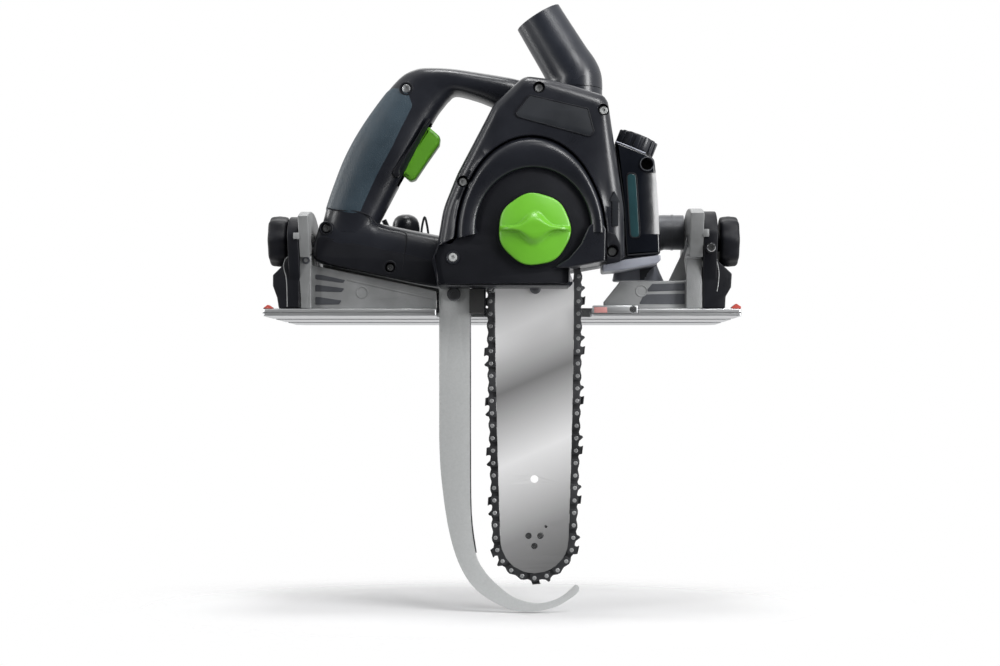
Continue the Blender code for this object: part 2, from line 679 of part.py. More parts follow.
def bracket_set(side, sign, inside, thickness, bracket_thickness, stem_length):
    """One end of the bevel setting. The sign is +1 at the front and -1 at the rear."""
    outside = inside + thickness
    wall = outside + GAP
    face = wall + bracket_thickness
    centre = (BAR_Y, 0)
    inner, outer = sign * inside, sign * outside
    made = {"segment": segment(f"{side}_segment", inner, outer, sign)}

    fixed_radius = SWIVEL_INNER_RADIUS - GAP
    near_angle = -math.degrees(math.asin(BRACKET_NEAR / fixed_radius))
    far_angle = math.degrees(math.acos(PLATE_TOP / fixed_radius))
    quadrant = arc(centre, fixed_radius, near_angle, far_angle, 20)
    quadrant += [(BAR_Y - BRACKET_NEAR, PLATE_TOP)]
    casting = slab(f"{side}_quadrant", [quadrant], "X", min(inner, outer), max(inner, outer),
                   "grey_casting")
    join(casting, slab(f"join_{side}_rib", [rib_outline(side)], "Y", BAR_Y - RIB_THICKNESS / 2,
                       BAR_Y + RIB_THICKNESS / 2))

    top = arc((BAR_Y, SWIVEL_BOLT_HEIGHT), BRACKET_TOP_RADIUS, -80, 80, 10)
    outline = top + [(BAR_Y + BRACKET_FAR, PLATE_TOP + BRACKET_FOOT_HEIGHT / 2),
                     (BAR_Y + BRACKET_FAR, PLATE_TOP), (BAR_Y - BRACKET_NEAR, PLATE_TOP),
                     (BAR_Y - BRACKET_NEAR, PLATE_TOP + BRACKET_FOOT_HEIGHT / 2)]
    low, high = sorted((sign * wall, sign * face))
    bracket = slab(f"{side}_bracket", [outline], "X", low, high, "black_plastic")
    tip = face + BRACKET_FOOT_LENGTH
    top_z = PLATE_TOP + BRACKET_FOOT_HEIGHT
    foot = [(sign * (wall + GAP), PLATE_TOP), (sign * (tip - BRACKET_FOOT_LENGTH / 3), PLATE_TOP),
            (sign * tip, PLATE_TOP + BRACKET_FOOT_HEIGHT / 2),
            (sign * tip, PLATE_TOP + BRACKET_FOOT_HEIGHT * 2 / 3),
            (sign * face, top_z), (sign * (wall + GAP), top_z)]
    foot_slab = slab(f"join_{side}_foot", [foot], "Y", BAR_Y + FOOT_NEAR, BAR_Y + BRACKET_FAR)
    join(bracket, foot_slab)
    reach = face + OVERRUN
    bore = rod(f"cut_{side}_bore", CLAMP_BOLT_RADIUS + GAP, -reach, reach, "X",
               (0, BAR_Y, SWIVEL_BOLT_HEIGHT))
    cut(bracket, bore)

    head_end = (inside + outside) / 2 - GAP
    head_start = inside + GAP
    knob_start = face + GAP + stem_length
    knob_end = knob_start + CLAMP_KNOB_LENGTH
    bolt_end = knob_end - CLAMP_KNOB_LENGTH / 3
    profile = [(0, bolt_end), (CLAMP_BOLT_RADIUS, bolt_end), (CLAMP_BOLT_RADIUS, head_end),
               (CLAMP_HEAD_RADIUS, head_end), (CLAMP_HEAD_RADIUS, head_start), (0, head_start)]
    pivot = (0, BAR_Y, SWIVEL_BOLT_HEIGHT)
    axis = TURN_FRAMES["X"] if sign > 0 else Matrix.Rotation(math.pi, 3, "Z") @ TURN_FRAMES["X"]
    turned(f"{side}_clamp_bolt", profile, axis, pivot, "bright_steel", 16)

    bore_end = bolt_end + GAP
    stem = CLAMP_STEM_RADIUS
    bolt_bore = CLAMP_BOLT_RADIUS + GAP
    edge = CLAMP_KNOB_LENGTH / 8
    profile = [(0, knob_end), (CLAMP_KNOB_RADIUS - edge, knob_end),
               (CLAMP_KNOB_RADIUS, knob_end - edge), (CLAMP_KNOB_RADIUS, knob_start + edge),
               (CLAMP_KNOB_RADIUS - edge, knob_start), (stem, knob_start),
               (stem, face + GAP), (bolt_bore, face + GAP), (bolt_bore, bore_end), (0, bore_end)]
    turned(f"{side}_clamp_knob", profile, axis, pivot, "black_plastic", 24)
    return made


def rib_outline(side):
    """The low wall of a quadrant casting, under the head, along the head's sole."""
    if side == "front":
        start = FRONT_RIB_START
        end = FRONT_SEGMENT_INSIDE + FRONT_SEGMENT_THICKNESS / 2
        return [(start, PLATE_TOP), (end, PLATE_TOP), (end, FRONT_RIB_TOP),
                (start + FRONT_RIB_SLOPE, FRONT_RIB_TOP), (start, PLATE_TOP + FRONT_RIB_FOOT)]
    handle = spread([HANDLE_OUTER_SHARES[-1], HANDLE_SOLE_SHARES[0]], HANDLE_LEFT,
                    HEAD_CLEARANCE, HANDLE_LENGTH, HANDLE_HEIGHT)
    (x_rear, z_rear), (x_front, z_front) = handle
    slope = (z_front - z_rear) / (x_front - x_rear)
    start = -REAR_SEGMENT_INSIDE - REAR_SEGMENT_THICKNESS / 2
    end = -NOTCH_REAR - GAP
    tops = [z_rear + slope * (x - x_rear) - RIB_CLEARANCE for x in (start, end)]
    return [(start, PLATE_TOP), (end, PLATE_TOP), (end, tops[1]), (start, tops[0])]


def cover_outline():
    """The arch of the sprocket cover, from its lower left corner over the top."""
    sole = HEAD_CLEARANCE
    low = COVER_HALF_WIDTH * COVER_SOLE_SHARE
    points = [(BAR_X - low, sole), (BAR_X - COVER_HALF_WIDTH, STUD_HEIGHT - DISH_RADIUS / 3)]
    for index in range(COVER_ARCH_STEPS + 1):
        angle = math.pi * (1 - index / COVER_ARCH_STEPS)
        points.append((BAR_X + COVER_HALF_WIDTH * math.cos(angle),
                       STUD_HEIGHT + COVER_ARCH_RISE * math.sin(angle)))
    points += [(BAR_X + COVER_HALF_WIDTH, STUD_HEIGHT - DISH_RADIUS / 3), (BAR_X + low, sole)]
    return points


def body_shell():
    """The near shell of the body, open behind, with the arch for the sprocket cover."""
    outline = body_outline()
    back = GEARBOX_NEAR - GAP
    shell = slab("body_shell", [outline], "Y", BODY_NEAR, back, "black_plastic")
    soften(shell, BODY_EDGE)
    hollow = slab("cut_body_hollow", [inset(outline, BODY_WALL)], "Y",
                  BODY_NEAR + BODY_WALL, back + OVERRUN)
    arch = inset(cover_outline(), -RUNNING_GAP)
    arch[0] = (arch[0][0], arch[0][1] - OVERRUN)
    arch[-1] = (arch[-1][0], arch[-1][1] - OVERRUN)
    opening = slab("cut_body_arch", [arch], "Y", BODY_NEAR - OVERRUN,
                   BODY_NEAR - COVER_PROUD + COVER_RIM_DEPTH + RUNNING_GAP)
    half = CHAIN_THICKNESS
    mouth = BAR_WIDTH / 2 + CHAIN_RIVET_RISE + CHAIN_CUTTER_RISE + RUNNING_GAP
    chain_mouth = box("cut_chain_mouth", (BAR_X - mouth, BAR_Y - half, HEAD_CLEARANCE - OVERRUN),
                      (BAR_X + mouth, back + OVERRUN, STUD_HEIGHT))
    knife_mouth = box("cut_knife_mouth",
                      (BAR_X - KNIFE_REACH - RUNNING_GAP, BAR_Y - KNIFE_THICKNESS,
                       HEAD_CLEARANCE - OVERRUN),
                      (BAR_X, back + OVERRUN, KNIFE_TOP_HEIGHT + RUNNING_GAP))
    cut(shell, hollow, opening, chain_mouth, knife_mouth)


def gear_housing():
    """The casting behind the bar, open towards the motor."""
    outline = body_outline()
    casting = slab("gear_housing", [outline], "Y", GEARBOX_NEAR, GEARBOX_FAR, "dark_casting")
    hollow = slab("cut_gear_hollow", [inset(outline, GEARBOX_WALL)], "Y",
                  GEARBOX_NEAR + GEARBOX_FRONT_WALL, GEARBOX_FAR + OVERRUN)
    cut(casting, hollow)
    boss = rod("join_gear_boss", BEARING_RADIUS + BEARING_BOSS_WALL,
               GEARBOX_NEAR + GEARBOX_FRONT_WALL / 4,
               GEARBOX_NEAR + GEARBOX_FRONT_WALL / 2 + BEARING_WIDTH, "Y", (BAR_X, 0, SPROCKET_Z))
    join(casting, boss)
    seat = stepped_bore("cut_gear_bearing", (BAR_X, 0, SPROCKET_Z), GEARBOX_FAR + OVERRUN,
                        GEARBOX_NEAR + GEARBOX_FRONT_WALL / 2, GEARBOX_NEAR - OVERRUN)
    stud_bore = rod("cut_gear_stud", STUD_RADIUS + GAP, GEARBOX_NEAR - OVERRUN, GEARBOX_FAR,
                    "Y", (BAR_X, 0, STUD_HEIGHT))
    chips = rod("cut_port_bore", collar_radius() - PORT_WALL - GAP,
                port_floor() - COLLAR_LENGTH - OVERRUN, port_floor() + OVERRUN, "Z",
                (port_x(), port_y(), 0))
    cut(casting, seat, stud_bore, chips)
    collar = ring("join_port_collar", collar_radius(), collar_radius() - PORT_WALL,
                  port_floor() - COLLAR_LENGTH, port_floor() + COLLAR_RISE, "Z",
                  (port_x(), port_y(), 0))
    join(casting, collar)


def stepped_bore(name, centre, mouth, floor, end):
    """A cutter for a bearing's seat, from its mouth to its floor, and the shaft beyond."""
    seat = BEARING_RADIUS + GAP
    shaft = SHAFT_RADIUS + RUNNING_GAP
    steps = [(0, mouth), (seat, mouth), (seat, floor), (shaft, floor), (shaft, end), (0, end)]
    if mouth > end:
        return turned(name, steps, "Y", centre, steps=24)
    return turned(name, flipped(steps), mirrored_y(), centre, steps=24)


def port_x():
    return BAR_X + PORT_OFFSET


def port_y():
    return BAR_Y + PORT_SETBACK


def port_floor():
    """The height at which the dust port's neck starts, round the collar it turns on."""
    return HEAD_CLEARANCE + BODY_HEIGHT - COLLAR_DROP


def collar_radius():
    return PORT_BASE_RADIUS - PORT_WALL - COLLAR_CLEARANCE


def motor_housing():
    """The motor's shell, with the flange that closes the gear housing."""
    flange_far = FLANGE_NEAR + MOTOR_FLANGE
    outline = body_outline()
    housing = slab("motor_housing", [outline], "Y", FLANGE_NEAR, flange_far, "black_plastic")
    shell = ring("join_motor_shell", MOTOR_RADIUS, MOTOR_RADIUS - MOTOR_WALL,
                 FLANGE_NEAR + MOTOR_FLANGE / 2, MOTOR_FAR, "Y", (MOTOR_X, 0, MOTOR_Z), steps=36)
    boss_radius = BEARING_RADIUS + BEARING_BOSS_WALL
    boss_near = FLANGE_NEAR - BEARING_WIDTH
    seat = BEARING_RADIUS + GAP
    seat_floor = FLANGE_NEAR + MOTOR_FLANGE / 4
    motor_boss = ring("join_motor_boss", boss_radius, seat, boss_near, seat_floor, "Y",
                      (MOTOR_X, 0, MOTOR_Z), steps=24)
    output_boss = ring("join_output_boss", boss_radius, seat, boss_near, seat_floor, "Y",
                       (BAR_X, 0, SPROCKET_Z), steps=24)
    motor_bore = rod("cut_motor_bore", SHAFT_RADIUS + RUNNING_GAP, FLANGE_NEAR - OVERRUN,
                     flange_far + OVERRUN, "Y", (MOTOR_X, 0, MOTOR_Z), steps=20)
    join(housing, shell, motor_boss, output_boss)
    cut(housing, motor_bore)

    cap_near = MOTOR_FAR + GAP
    edge = MOTOR_CAP_LENGTH / 3
    cap_centre = (MOTOR_X, 0, MOTOR_Z)
    inner = MOTOR_RADIUS - MOTOR_WALL
    boss = BEARING_RADIUS + BEARING_BOSS_WALL
    profile = [(0, CAP_FAR), (MOTOR_RADIUS - edge, CAP_FAR), (MOTOR_RADIUS, CAP_FAR - edge),
               (MOTOR_RADIUS, cap_near), (inner, cap_near), (inner, CAP_FAR - edge),
               (boss, CAP_FAR - edge), (boss, cap_near), (seat, cap_near),
               (seat, CAP_FAR - edge), (0, CAP_FAR - edge)]
    turned("motor_end_cap", profile, "Y", cap_centre, "black_plastic", 36)


def teeth(count, radius, depth):
    """A gear outline with trapezoid teeth, about the origin."""
    points = []
    for index in range(count):
        for share, reach in TOOTH_SHARES:
            angle = 2 * math.pi * (index + share) / count
            size = radius - depth * (1 - reach)
            points.append((size * math.sin(angle), size * math.cos(angle)))
    return points


def gear(name, count, radius, bore, low, high, centre, finish):
    around = [(centre[0] + x, centre[1] + z) for x, z in teeth(count, radius, TOOTH_DEPTH)]
    hole = arc(centre, bore, 0, 360, 16)[:-1]
    return slab(name, [around, hole], "Y", low, high, finish,
                origin=(centre[0], (low + high) / 2, centre[1]))


def gear_train():
    shaft = (BAR_X, 0, SPROCKET_Z)
    front_seat = GEARBOX_NEAR + GEARBOX_FRONT_WALL / 2
    bearing_length = BEARING_WIDTH - 2 * GAP
    bore = SHAFT_RADIUS + GAP
    ring("output_bearing_near", BEARING_RADIUS, bore, front_seat + GAP,
         front_seat + bearing_length, "Y", shaft, "bright_steel", 20)
    far_seat = FLANGE_NEAR - BEARING_WIDTH
    ring("output_bearing_far", BEARING_RADIUS, bore, far_seat + GAP, far_seat + bearing_length,
         "Y", shaft, "bright_steel", 20)
    shaft_near = BAR_Y - SPROCKET_WIDTH / 2 - SHAFT_RADIUS / 2
    shaft_far = FLANGE_NEAR - GAP
    rod("output_shaft", SHAFT_RADIUS, shaft_near, shaft_far, "Y", shaft, "bright_steel", 20)
    gear_low = front_seat + BEARING_WIDTH + RUNNING_GAP
    gear_high = gear_low + GEAR_WIDTH
    gear("output_gear", GEAR_TEETH, GEAR_RADIUS, bore, gear_low, gear_high,
         (BAR_X, SPROCKET_Z), "bright_steel")

    motor = (MOTOR_X, 0, MOTOR_Z)
    gear("motor_pinion", PINION_TEETH, PINION_RADIUS, SHAFT_RADIUS * PINION_BORE_SHARE + GAP,
         gear_low, gear_high, (MOTOR_X, MOTOR_Z), "bright_steel")
    ring("motor_bearing_near", BEARING_RADIUS, bore, far_seat + GAP, far_seat + bearing_length,
         "Y", motor, "bright_steel", 20)
    cap_floor = CAP_FAR - MOTOR_CAP_LENGTH / 3
    ring("motor_bearing_far", BEARING_RADIUS, bore, cap_floor - bearing_length - GAP,
         cap_floor - GAP, "Y", motor, "bright_steel", 20)

    inside = FLANGE_NEAR + MOTOR_FLANGE
    fan_low = inside + RUNNING_GAP * 4
    fan_high = fan_low + FAN_LENGTH
    stack_low = fan_high + RUNNING_GAP * 8
    stack_high = stack_low + STATOR_LENGTH
    ring("motor_stator", MOTOR_RADIUS - MOTOR_WALL - GAP, STATOR_INNER_RADIUS, stack_low,
         stack_high, "Y", motor, "iron_stack", 32)
    rotor = STATOR_INNER_RADIUS - RUNNING_GAP
    end = cap_floor - GAP * 2
    narrow = SHAFT_RADIUS * PINION_BORE_SHARE
    profile = [(0, end), (SHAFT_RADIUS, end), (SHAFT_RADIUS, stack_high), (rotor, stack_high),
               (rotor, stack_low), (SHAFT_RADIUS, stack_low), (SHAFT_RADIUS, gear_high + GAP),
               (narrow, gear_high + GAP), (narrow, gear_low), (0, gear_low)]
    turned("armature", profile, "Y", motor, "iron_stack", 24)
    fan(fan_low, fan_high, bore, motor)
    low = stack_high + RUNNING_GAP * 2
    ring("commutator", COMMUTATOR_RADIUS, bore, low, low + COMMUTATOR_LENGTH, "Y", motor,
         "copper", 24)
    middle = low + COMMUTATOR_LENGTH / 2
    for label, sign in (("rear", -1), ("front", 1)):
        inner = MOTOR_X + sign * (COMMUTATOR_RADIUS + RUNNING_GAP)
        reach = math.sqrt((MOTOR_RADIUS - MOTOR_WALL) ** 2 - BRUSH_WIDTH ** 2) - RUNNING_GAP
        outer = MOTOR_X + sign * reach
        box(f"{label}_brush",
            (min(inner, outer), middle - BRUSH_LENGTH / 2, MOTOR_Z - BRUSH_WIDTH / 2),
            (max(inner, outer), middle + BRUSH_LENGTH / 2, MOTOR_Z + BRUSH_WIDTH / 2), "carbon")
    pump_x = BAR_X - GEAR_RADIUS - OIL_PUMP_RADIUS
    pump_low = GEARBOX_NEAR + GEARBOX_FRONT_WALL + GAP
    rod("oil_pump", OIL_PUMP_RADIUS, pump_low, pump_low + OIL_PUMP_LENGTH, "Y",
        (pump_x, 0, SPROCKET_Z - GEAR_RADIUS), "bright_steel", 16)


def fan(low, high, bore, centre):
    """The cooling fan: a disc with straight blades, and a hub on the shaft."""
    disc_top = low + FAN_LENGTH / 5
    disc = ring("motor_fan", FAN_RADIUS, bore, low, disc_top, "Y", centre, "black_plastic", 24)
    hub = ring("join_fan_hub", bore * 2, bore, low, high, "Y", centre, steps=24)
    join(disc, hub)
    blade_half = FAN_LENGTH / 12
    for index in range(FAN_BLADES):
        blade = box(f"join_fan_blade_{index}",
                    (bore * 3 / 2, disc_top - blade_half, -blade_half),
                    (FAN_RADIUS - blade_half, high, blade_half), origin=(0, 0, 0))
        turn = Matrix.Rotation(2 * math.pi * index / FAN_BLADES, 4, "Y")
        blade.matrix_world = Matrix.Translation(centre) @ turn
        join(disc, blade)


def sprocket_cover():
    """The arched cover with its dished face, open behind, and the boss that clamps the bar."""
    near = BODY_NEAR - COVER_PROUD
    back = near + COVER_RIM_DEPTH
    outline = cover_outline()
    centre = (BAR_X, 0, STUD_HEIGHT)
    cover = slab("sprocket_cover", [outline], "Y", near, back, "black_plastic")
    dish_floor = near + DISH_DEPTH
    hollow = slab("cut_cover_hollow", [inset(outline, BODY_WALL)], "Y",
                  dish_floor + BODY_WALL, back + OVERRUN)
    profile = [(0, near - OVERRUN), (DISH_RADIUS, near - OVERRUN),
               (DISH_RADIUS - DISH_DEPTH / 2, dish_floor), (0, dish_floor)]
    dish = turned("cut_cover_dish", flipped(profile), mirrored_y(), centre, steps=40)
    mouth = box("cut_cover_mouth", (BAR_X - COVER_HALF_WIDTH, dish_floor + BODY_WALL,
                                    HEAD_CLEARANCE - OVERRUN),
                (BAR_X + COVER_HALF_WIDTH, back + OVERRUN, HEAD_CLEARANCE + BODY_WALL + OVERRUN))
    boss = rod("join_cover_boss", COVER_BOSS_RADIUS, dish_floor + BODY_WALL / 2,
               BAR_Y - BAR_HALF - GAP, "Y", centre)
    bore = rod("cut_cover_bore", STUD_RADIUS + RUNNING_GAP, near - OVERRUN, BAR_Y, "Y", centre)
    cut(cover, hollow, dish, mouth)
    join(cover, boss)
    cut(cover, bore)

    knob_back = dish_floor - GAP
    knob_front = knob_back - KNOB_LENGTH
    edge = KNOB_LENGTH / 4
    stud_end = knob_front + KNOB_LENGTH / 3
    stud_bore = STUD_RADIUS + GAP
    profile = [(0, knob_front), (KNOB_RADIUS - edge, knob_front),
               (KNOB_RADIUS, knob_front + edge), (KNOB_RADIUS, knob_back),
               (stud_bore, knob_back), (stud_bore, stud_end - GAP), (0, stud_end - GAP)]
    knob = turned("cover_knob", flipped(profile), mirrored_y(), centre, "green_plastic", 40)
    grip_front = knob_front - KNOB_GRIP_LENGTH
    reach = KNOB_RADIUS - edge * 2
    waist = KNOB_GRIP_WIDTH / 2
    bow = [(-reach, -waist), (0, -KNOB_HUB_RADIUS / 2), (reach, -waist),
           (reach, waist), (0, KNOB_HUB_RADIUS / 2), (-reach, waist)]
    bow = [(BAR_X + x, STUD_HEIGHT + z) for x, z in bow]
    grip = slab("join_knob_grip", [bow], "Y", grip_front, knob_front + edge)
    hub = rod("join_knob_hub", KNOB_HUB_RADIUS, grip_front, knob_front + edge, "Y", centre)
    join(knob, grip, hub)

    nut_face = GEARBOX_NEAR + GEARBOX_FRONT_WALL
    profile = [(0, stud_end), (STUD_RADIUS, stud_end), (STUD_RADIUS, nut_face + GAP),
               (STUD_RADIUS * 2, nut_face + GAP), (STUD_RADIUS * 2, nut_face + STUD_RADIUS),
               (0, nut_face + STUD_RADIUS)]
    turned("bar_stud", flipped(profile), mirrored_y(), centre, "bright_steel", 20)


def mirrored_y():
    """Turning axes whose third axis points at the viewer's side, along -Y."""
    return SLAB_FRAMES["Y"]


def flipped(profile):
    """A profile given in world Y, in the heights of an axis that points along -Y."""
    return [(radius, -height) for radius, height in profile]


def bar_half_width(z):
    """Half the bar's width at a height, from its nose to its rounded tail."""
    straight = BAR_NOSE_WIDTH / 2
    wide = BAR_WIDTH / 2
    shoulder = STUD_HEIGHT * BAR_SHOULDER_SHARE
    if z <= shoulder:
        share = (z + BAR_NOSE_DEPTH) / (shoulder + BAR_NOSE_DEPTH)
        return straight + (wide - straight) * math.sin(share * math.pi / 2)
    tail = STUD_HEIGHT + BAR_TAIL_RISE
    share = (z - shoulder) / (tail - shoulder)
    return wide - (wide - BAR_TAIL_WIDTH / 2) * share


def bar_outline():
    """The bar's outline, from the tail down and round."""
    shoulder = STUD_HEIGHT * BAR_SHOULDER_SHARE
    tail = STUD_HEIGHT + BAR_TAIL_RISE
    side = []
    for index in range(BAR_TAIL_STEPS):
        z = tail + (shoulder - tail) * index / BAR_TAIL_STEPS
        side.append((bar_half_width(z), z))
    for index in range(BAR_SIDE_STEPS):
        z = shoulder + (-BAR_NOSE_DEPTH - shoulder) * index / BAR_SIDE_STEPS
        side.append((bar_half_width(z), z))
    nose = arc((0, -BAR_NOSE_DEPTH), BAR_NOSE_WIDTH / 2, 90, 270, BAR_NOSE_STEPS)
    points = side + nose + [(-x, z) for x, z in reversed(side)]
    return [(BAR_X + x, z) for x, z in points]


def bar_set():
    """The laminated guide bar: two plates on a core, with the sprocket in its nose."""
    core_half = BAR_CORE_THICKNESS / 2
    nose = (BAR_X, -BAR_NOSE_DEPTH)
    slot_half = STUD_RADIUS + RUNNING_GAP
    slot_top = STUD_HEIGHT + slot_half
    slot_low = STUD_HEIGHT - slot_half - BAR_TENSION_TRAVEL - RUNNING_GAP
    slot = [(BAR_X - slot_half, slot_low), (BAR_X + slot_half, slot_low),
            (BAR_X + slot_half, slot_top), (BAR_X - slot_half, slot_top)]
    round_hole = arc((BAR_X, -BAR_HOLE_DEPTH), BAR_HOLE_RADIUS, 0, 360, 16)[:-1]
    oil_hole = arc((BAR_X + OIL_HOLE_OFFSET, -OIL_HOLE_DEPTH), OIL_HOLE_RADIUS, 0, 360, 8)[:-1]
    rivets = [arc(place_of, NOSE_RIVET_RADIUS + GAP, 0, 360, 10)[:-1]
              for place_of in rivet_places()]
    for side, sign in (("near", -1), ("far", 1)):
        inner = BAR_Y + sign * (core_half + GAP)
        outer = inner + sign * BAR_PLATE_THICKNESS
        slab(f"bar_plate_{side}", [bar_outline(), slot, round_hole, oil_hole] + rivets, "Y",
             min(inner, outer), max(inner, outer), "bar_steel")
    star_radius = BAR_NOSE_WIDTH / 2 - GROOVE_DEPTH
    core = [point for point in inset(bar_outline(), GROOVE_DEPTH)
            if point[1] > -BAR_NOSE_DEPTH + star_radius * 2]
    shelf = -BAR_NOSE_DEPTH + star_radius + RUNNING_GAP
    width = bar_half_width(shelf) - GROOVE_DEPTH
    half = len(core) // 2
    core = core[:half] + [(BAR_X + width, shelf), (BAR_X - width, shelf)] + core[half:]
    slab("bar_core", [core, slot, round_hole], "Y", BAR_Y - core_half, BAR_Y + core_half,
         "bar_steel")
    bearing = rod("nose_bearing", NOSE_BEARING_RADIUS, BAR_Y - core_half, BAR_Y + core_half, "Y",
                  (BAR_X, 0, -BAR_NOSE_DEPTH), "bright_steel")
    for index, (x, z) in enumerate(rivet_places()):
        rivet = rod(f"join_nose_rivet_{index}", NOSE_RIVET_RADIUS, BAR_Y - BAR_HALF,
                    BAR_Y + BAR_HALF, "Y", (x, 0, z), steps=10)
        join(bearing, rivet)
    star = [(nose[0] + x, nose[1] + z) for x, z in teeth(NOSE_TEETH, star_radius, TOOTH_DEPTH)]
    bore = arc(nose, NOSE_BEARING_RADIUS + GAP, 0, 360, 24)[:-1]
    slab("nose_sprocket", [star, bore], "Y", BAR_Y - core_half, BAR_Y + core_half,
         "bright_steel", origin=(nose[0], BAR_Y, nose[1]))


def rivet_places():
    """Three rivets in the nose, two above and one below."""
    places = []
    for angle_deg in (-60, 60, 180):
        angle = math.radians(angle_deg)
        places.append((BAR_X + NOSE_RIVET_CIRCLE * math.sin(angle),
                       -BAR_NOSE_DEPTH + NOSE_RIVET_CIRCLE * math.cos(angle)))
    return places


def chain_path():
    """The closed line through the chain's rivets: round the bar and over the sprocket."""
    shoulder = STUD_HEIGHT * BAR_SHOULDER_SHARE
    low = rivet_side(shoulder)
    low.insert(0, (low[0][0], shoulder + BAR_TENSION_TRAVEL * 2))
    start = low[0]
    sprocket = (0, SPROCKET_Z)
    distance = math.hypot(start[0] - sprocket[0], start[1] - sprocket[1])
    toward = math.atan2(start[0] - sprocket[0], start[1] - sprocket[1])
    touch = toward - math.acos(SPROCKET_PITCH_RADIUS / distance)
    top = arc(sprocket, SPROCKET_PITCH_RADIUS, 0, math.degrees(touch), 10)
    nose = arc((0, -BAR_NOSE_DEPTH), BAR_NOSE_WIDTH / 2 + CHAIN_RIVET_RISE, 90, 180, 12)
    half = top + low + nose
    points = half + [(-x, z) for x, z in reversed(half[1:-1])]
    return [(BAR_X + x, z) for x, z in points]


def rivet_side(shoulder):
    side = []
    for index in range(BAR_SIDE_STEPS):
        z = shoulder + (-BAR_NOSE_DEPTH - shoulder) * index / BAR_SIDE_STEPS
        side.append((bar_half_width(z) + CHAIN_RIVET_RISE, z))
    return side


def walk(points, count):
    """Evenly spaced points along a closed line, each with its outward direction."""
    closed = [Vector(point) for point in points]
    closed.append(closed[0])
    lengths = [(b - a).length for a, b in zip(closed, closed[1:])]
    total = sum(lengths)
    stations = []
    index = 0
    passed = 0
    for step in range(count):
        wanted = total * step / count
        while passed + lengths[index] < wanted:
            passed += lengths[index]
            index += 1
        direction = (closed[index + 1] - closed[index]).normalized()
        here = closed[index] + direction * (wanted - passed)
        stations.append((here, Vector((-direction.y, direction.x))))
    return stations, total


def saw_chain():
    """The chain as one closed band: straps outside, drive tangs in the bar's groove."""
    path = chain_path()
    total = walk(path, 1)[1]
    links = 2 * round(total / CHAIN_PITCH / 2)
    stations = walk(path, links * LINK_STEPS)[0]
    outer = []
    inner = []
    tang_inner = []
    tang_outer = []
    for index, (here, outward) in enumerate(stations):
        link, step = divmod(index, LINK_STEPS)
        cutter = link % CHAIN_CUTTER_EVERY == 0
        rise = CHAIN_CUTTER_RISE if cutter else CHAIN_STRAP_RISE
        crest = step in (1, 2)
        outer.append(here + outward * (rise if crest else CHAIN_STRAP_RISE * NECK_SHARE))
        inner.append(here - outward * (CHAIN_RIVET_RISE - GAP))
        tang = link % 2 == 0 and step in (1, 2)
        depth = CHAIN_TANG_DEPTH if tang else 0
        tang_inner.append(here - outward * (CHAIN_RIVET_RISE + depth - GAP * 3 / 2))
        tang_outer.append(here)
    half = CHAIN_THICKNESS / 2
    chain = slab("saw_chain", [outer, inner], "Y", BAR_Y - half, BAR_Y + half, "chain_steel")
    half = CHAIN_TANG_THICKNESS / 2
    tangs = slab("join_chain_tangs", [tang_outer, tang_inner], "Y", BAR_Y - half, BAR_Y + half)
    join(chain, tangs)

    half = SPROCKET_WIDTH / 2
    rim = SPROCKET_PITCH_RADIUS - CHAIN_RIVET_RISE - GAP
    floor = rim - CHAIN_TANG_DEPTH - GAP * 2
    channel = CHAIN_TANG_THICKNESS / 2 + GAP
    bore = SHAFT_RADIUS + GAP
    profile = [(rim, half), (rim, channel), (floor, channel), (floor, -channel), (rim, -channel),
               (rim, -half), (bore, -half), (bore, half)]
    turned("drive_sprocket", profile, "Y", (BAR_X, BAR_Y, SPROCKET_Z), "bright_steel", 28,
           closed=True)


def riving_knife():
    left = BAR_X - KNIFE_REACH
    sides = (KNIFE_OUTER_SHARES, KNIFE_INNER_SHARES)
    outer, inner = (smoothed(spread(shares, left, 0, KNIFE_SPAN, -KNIFE_DROP))
                    for shares in sides)
    width = KNIFE_SPAN * KNIFE_INNER_SHARES[-1][0]
    outline = [(left + width, KNIFE_TOP_HEIGHT), (left, KNIFE_TOP_HEIGHT)] + outer + inner
    half = KNIFE_THICKNESS / 2
    knife = slab("riving_knife", [outline], "Y", BAR_Y - half, BAR_Y + half, "knife_steel")
    middle = left + width / 2
    centre = (middle, 0, KNIFE_BOLT_HEIGHT)
    hole = rod("cut_knife_hole", KNIFE_BOLT_RADIUS + GAP, BAR_Y - half - OVERRUN,
               BAR_Y + half + OVERRUN, "Y", centre, steps=16)
    cut(knife, hole)
    head = BAR_Y - half - GAP
    end = GEARBOX_NEAR + GEARBOX_FRONT_WALL
    profile = [(0, head - KNIFE_BOLT_RADIUS), (KNIFE_BOLT_HEAD, head - KNIFE_BOLT_RADIUS),
               (KNIFE_BOLT_HEAD, head), (KNIFE_BOLT_RADIUS, head), (KNIFE_BOLT_RADIUS, end),
               (0, end)]
    turned("knife_bolt", flipped(profile), mirrored_y(), centre, "bright_steel", 16)
    boss_near = BAR_Y + half + GAP
    boss = rod("join_knife_boss", width * KNIFE_BOSS_SHARE, boss_near,
               GEARBOX_NEAR + GEARBOX_FRONT_WALL / 2, "Y", centre)
    bore = rod("cut_gear_knife", KNIFE_BOLT_RADIUS + GAP, boss_near - OVERRUN,
               end + OVERRUN, "Y", centre, steps=16)
    housing = bpy.data.objects["gear_housing"]
    join(housing, boss)
    cut(housing, bore)


def handle_place(shares):
    return spread(shares, HANDLE_LEFT, HEAD_CLEARANCE, HANDLE_LENGTH, HANDLE_HEIGHT)


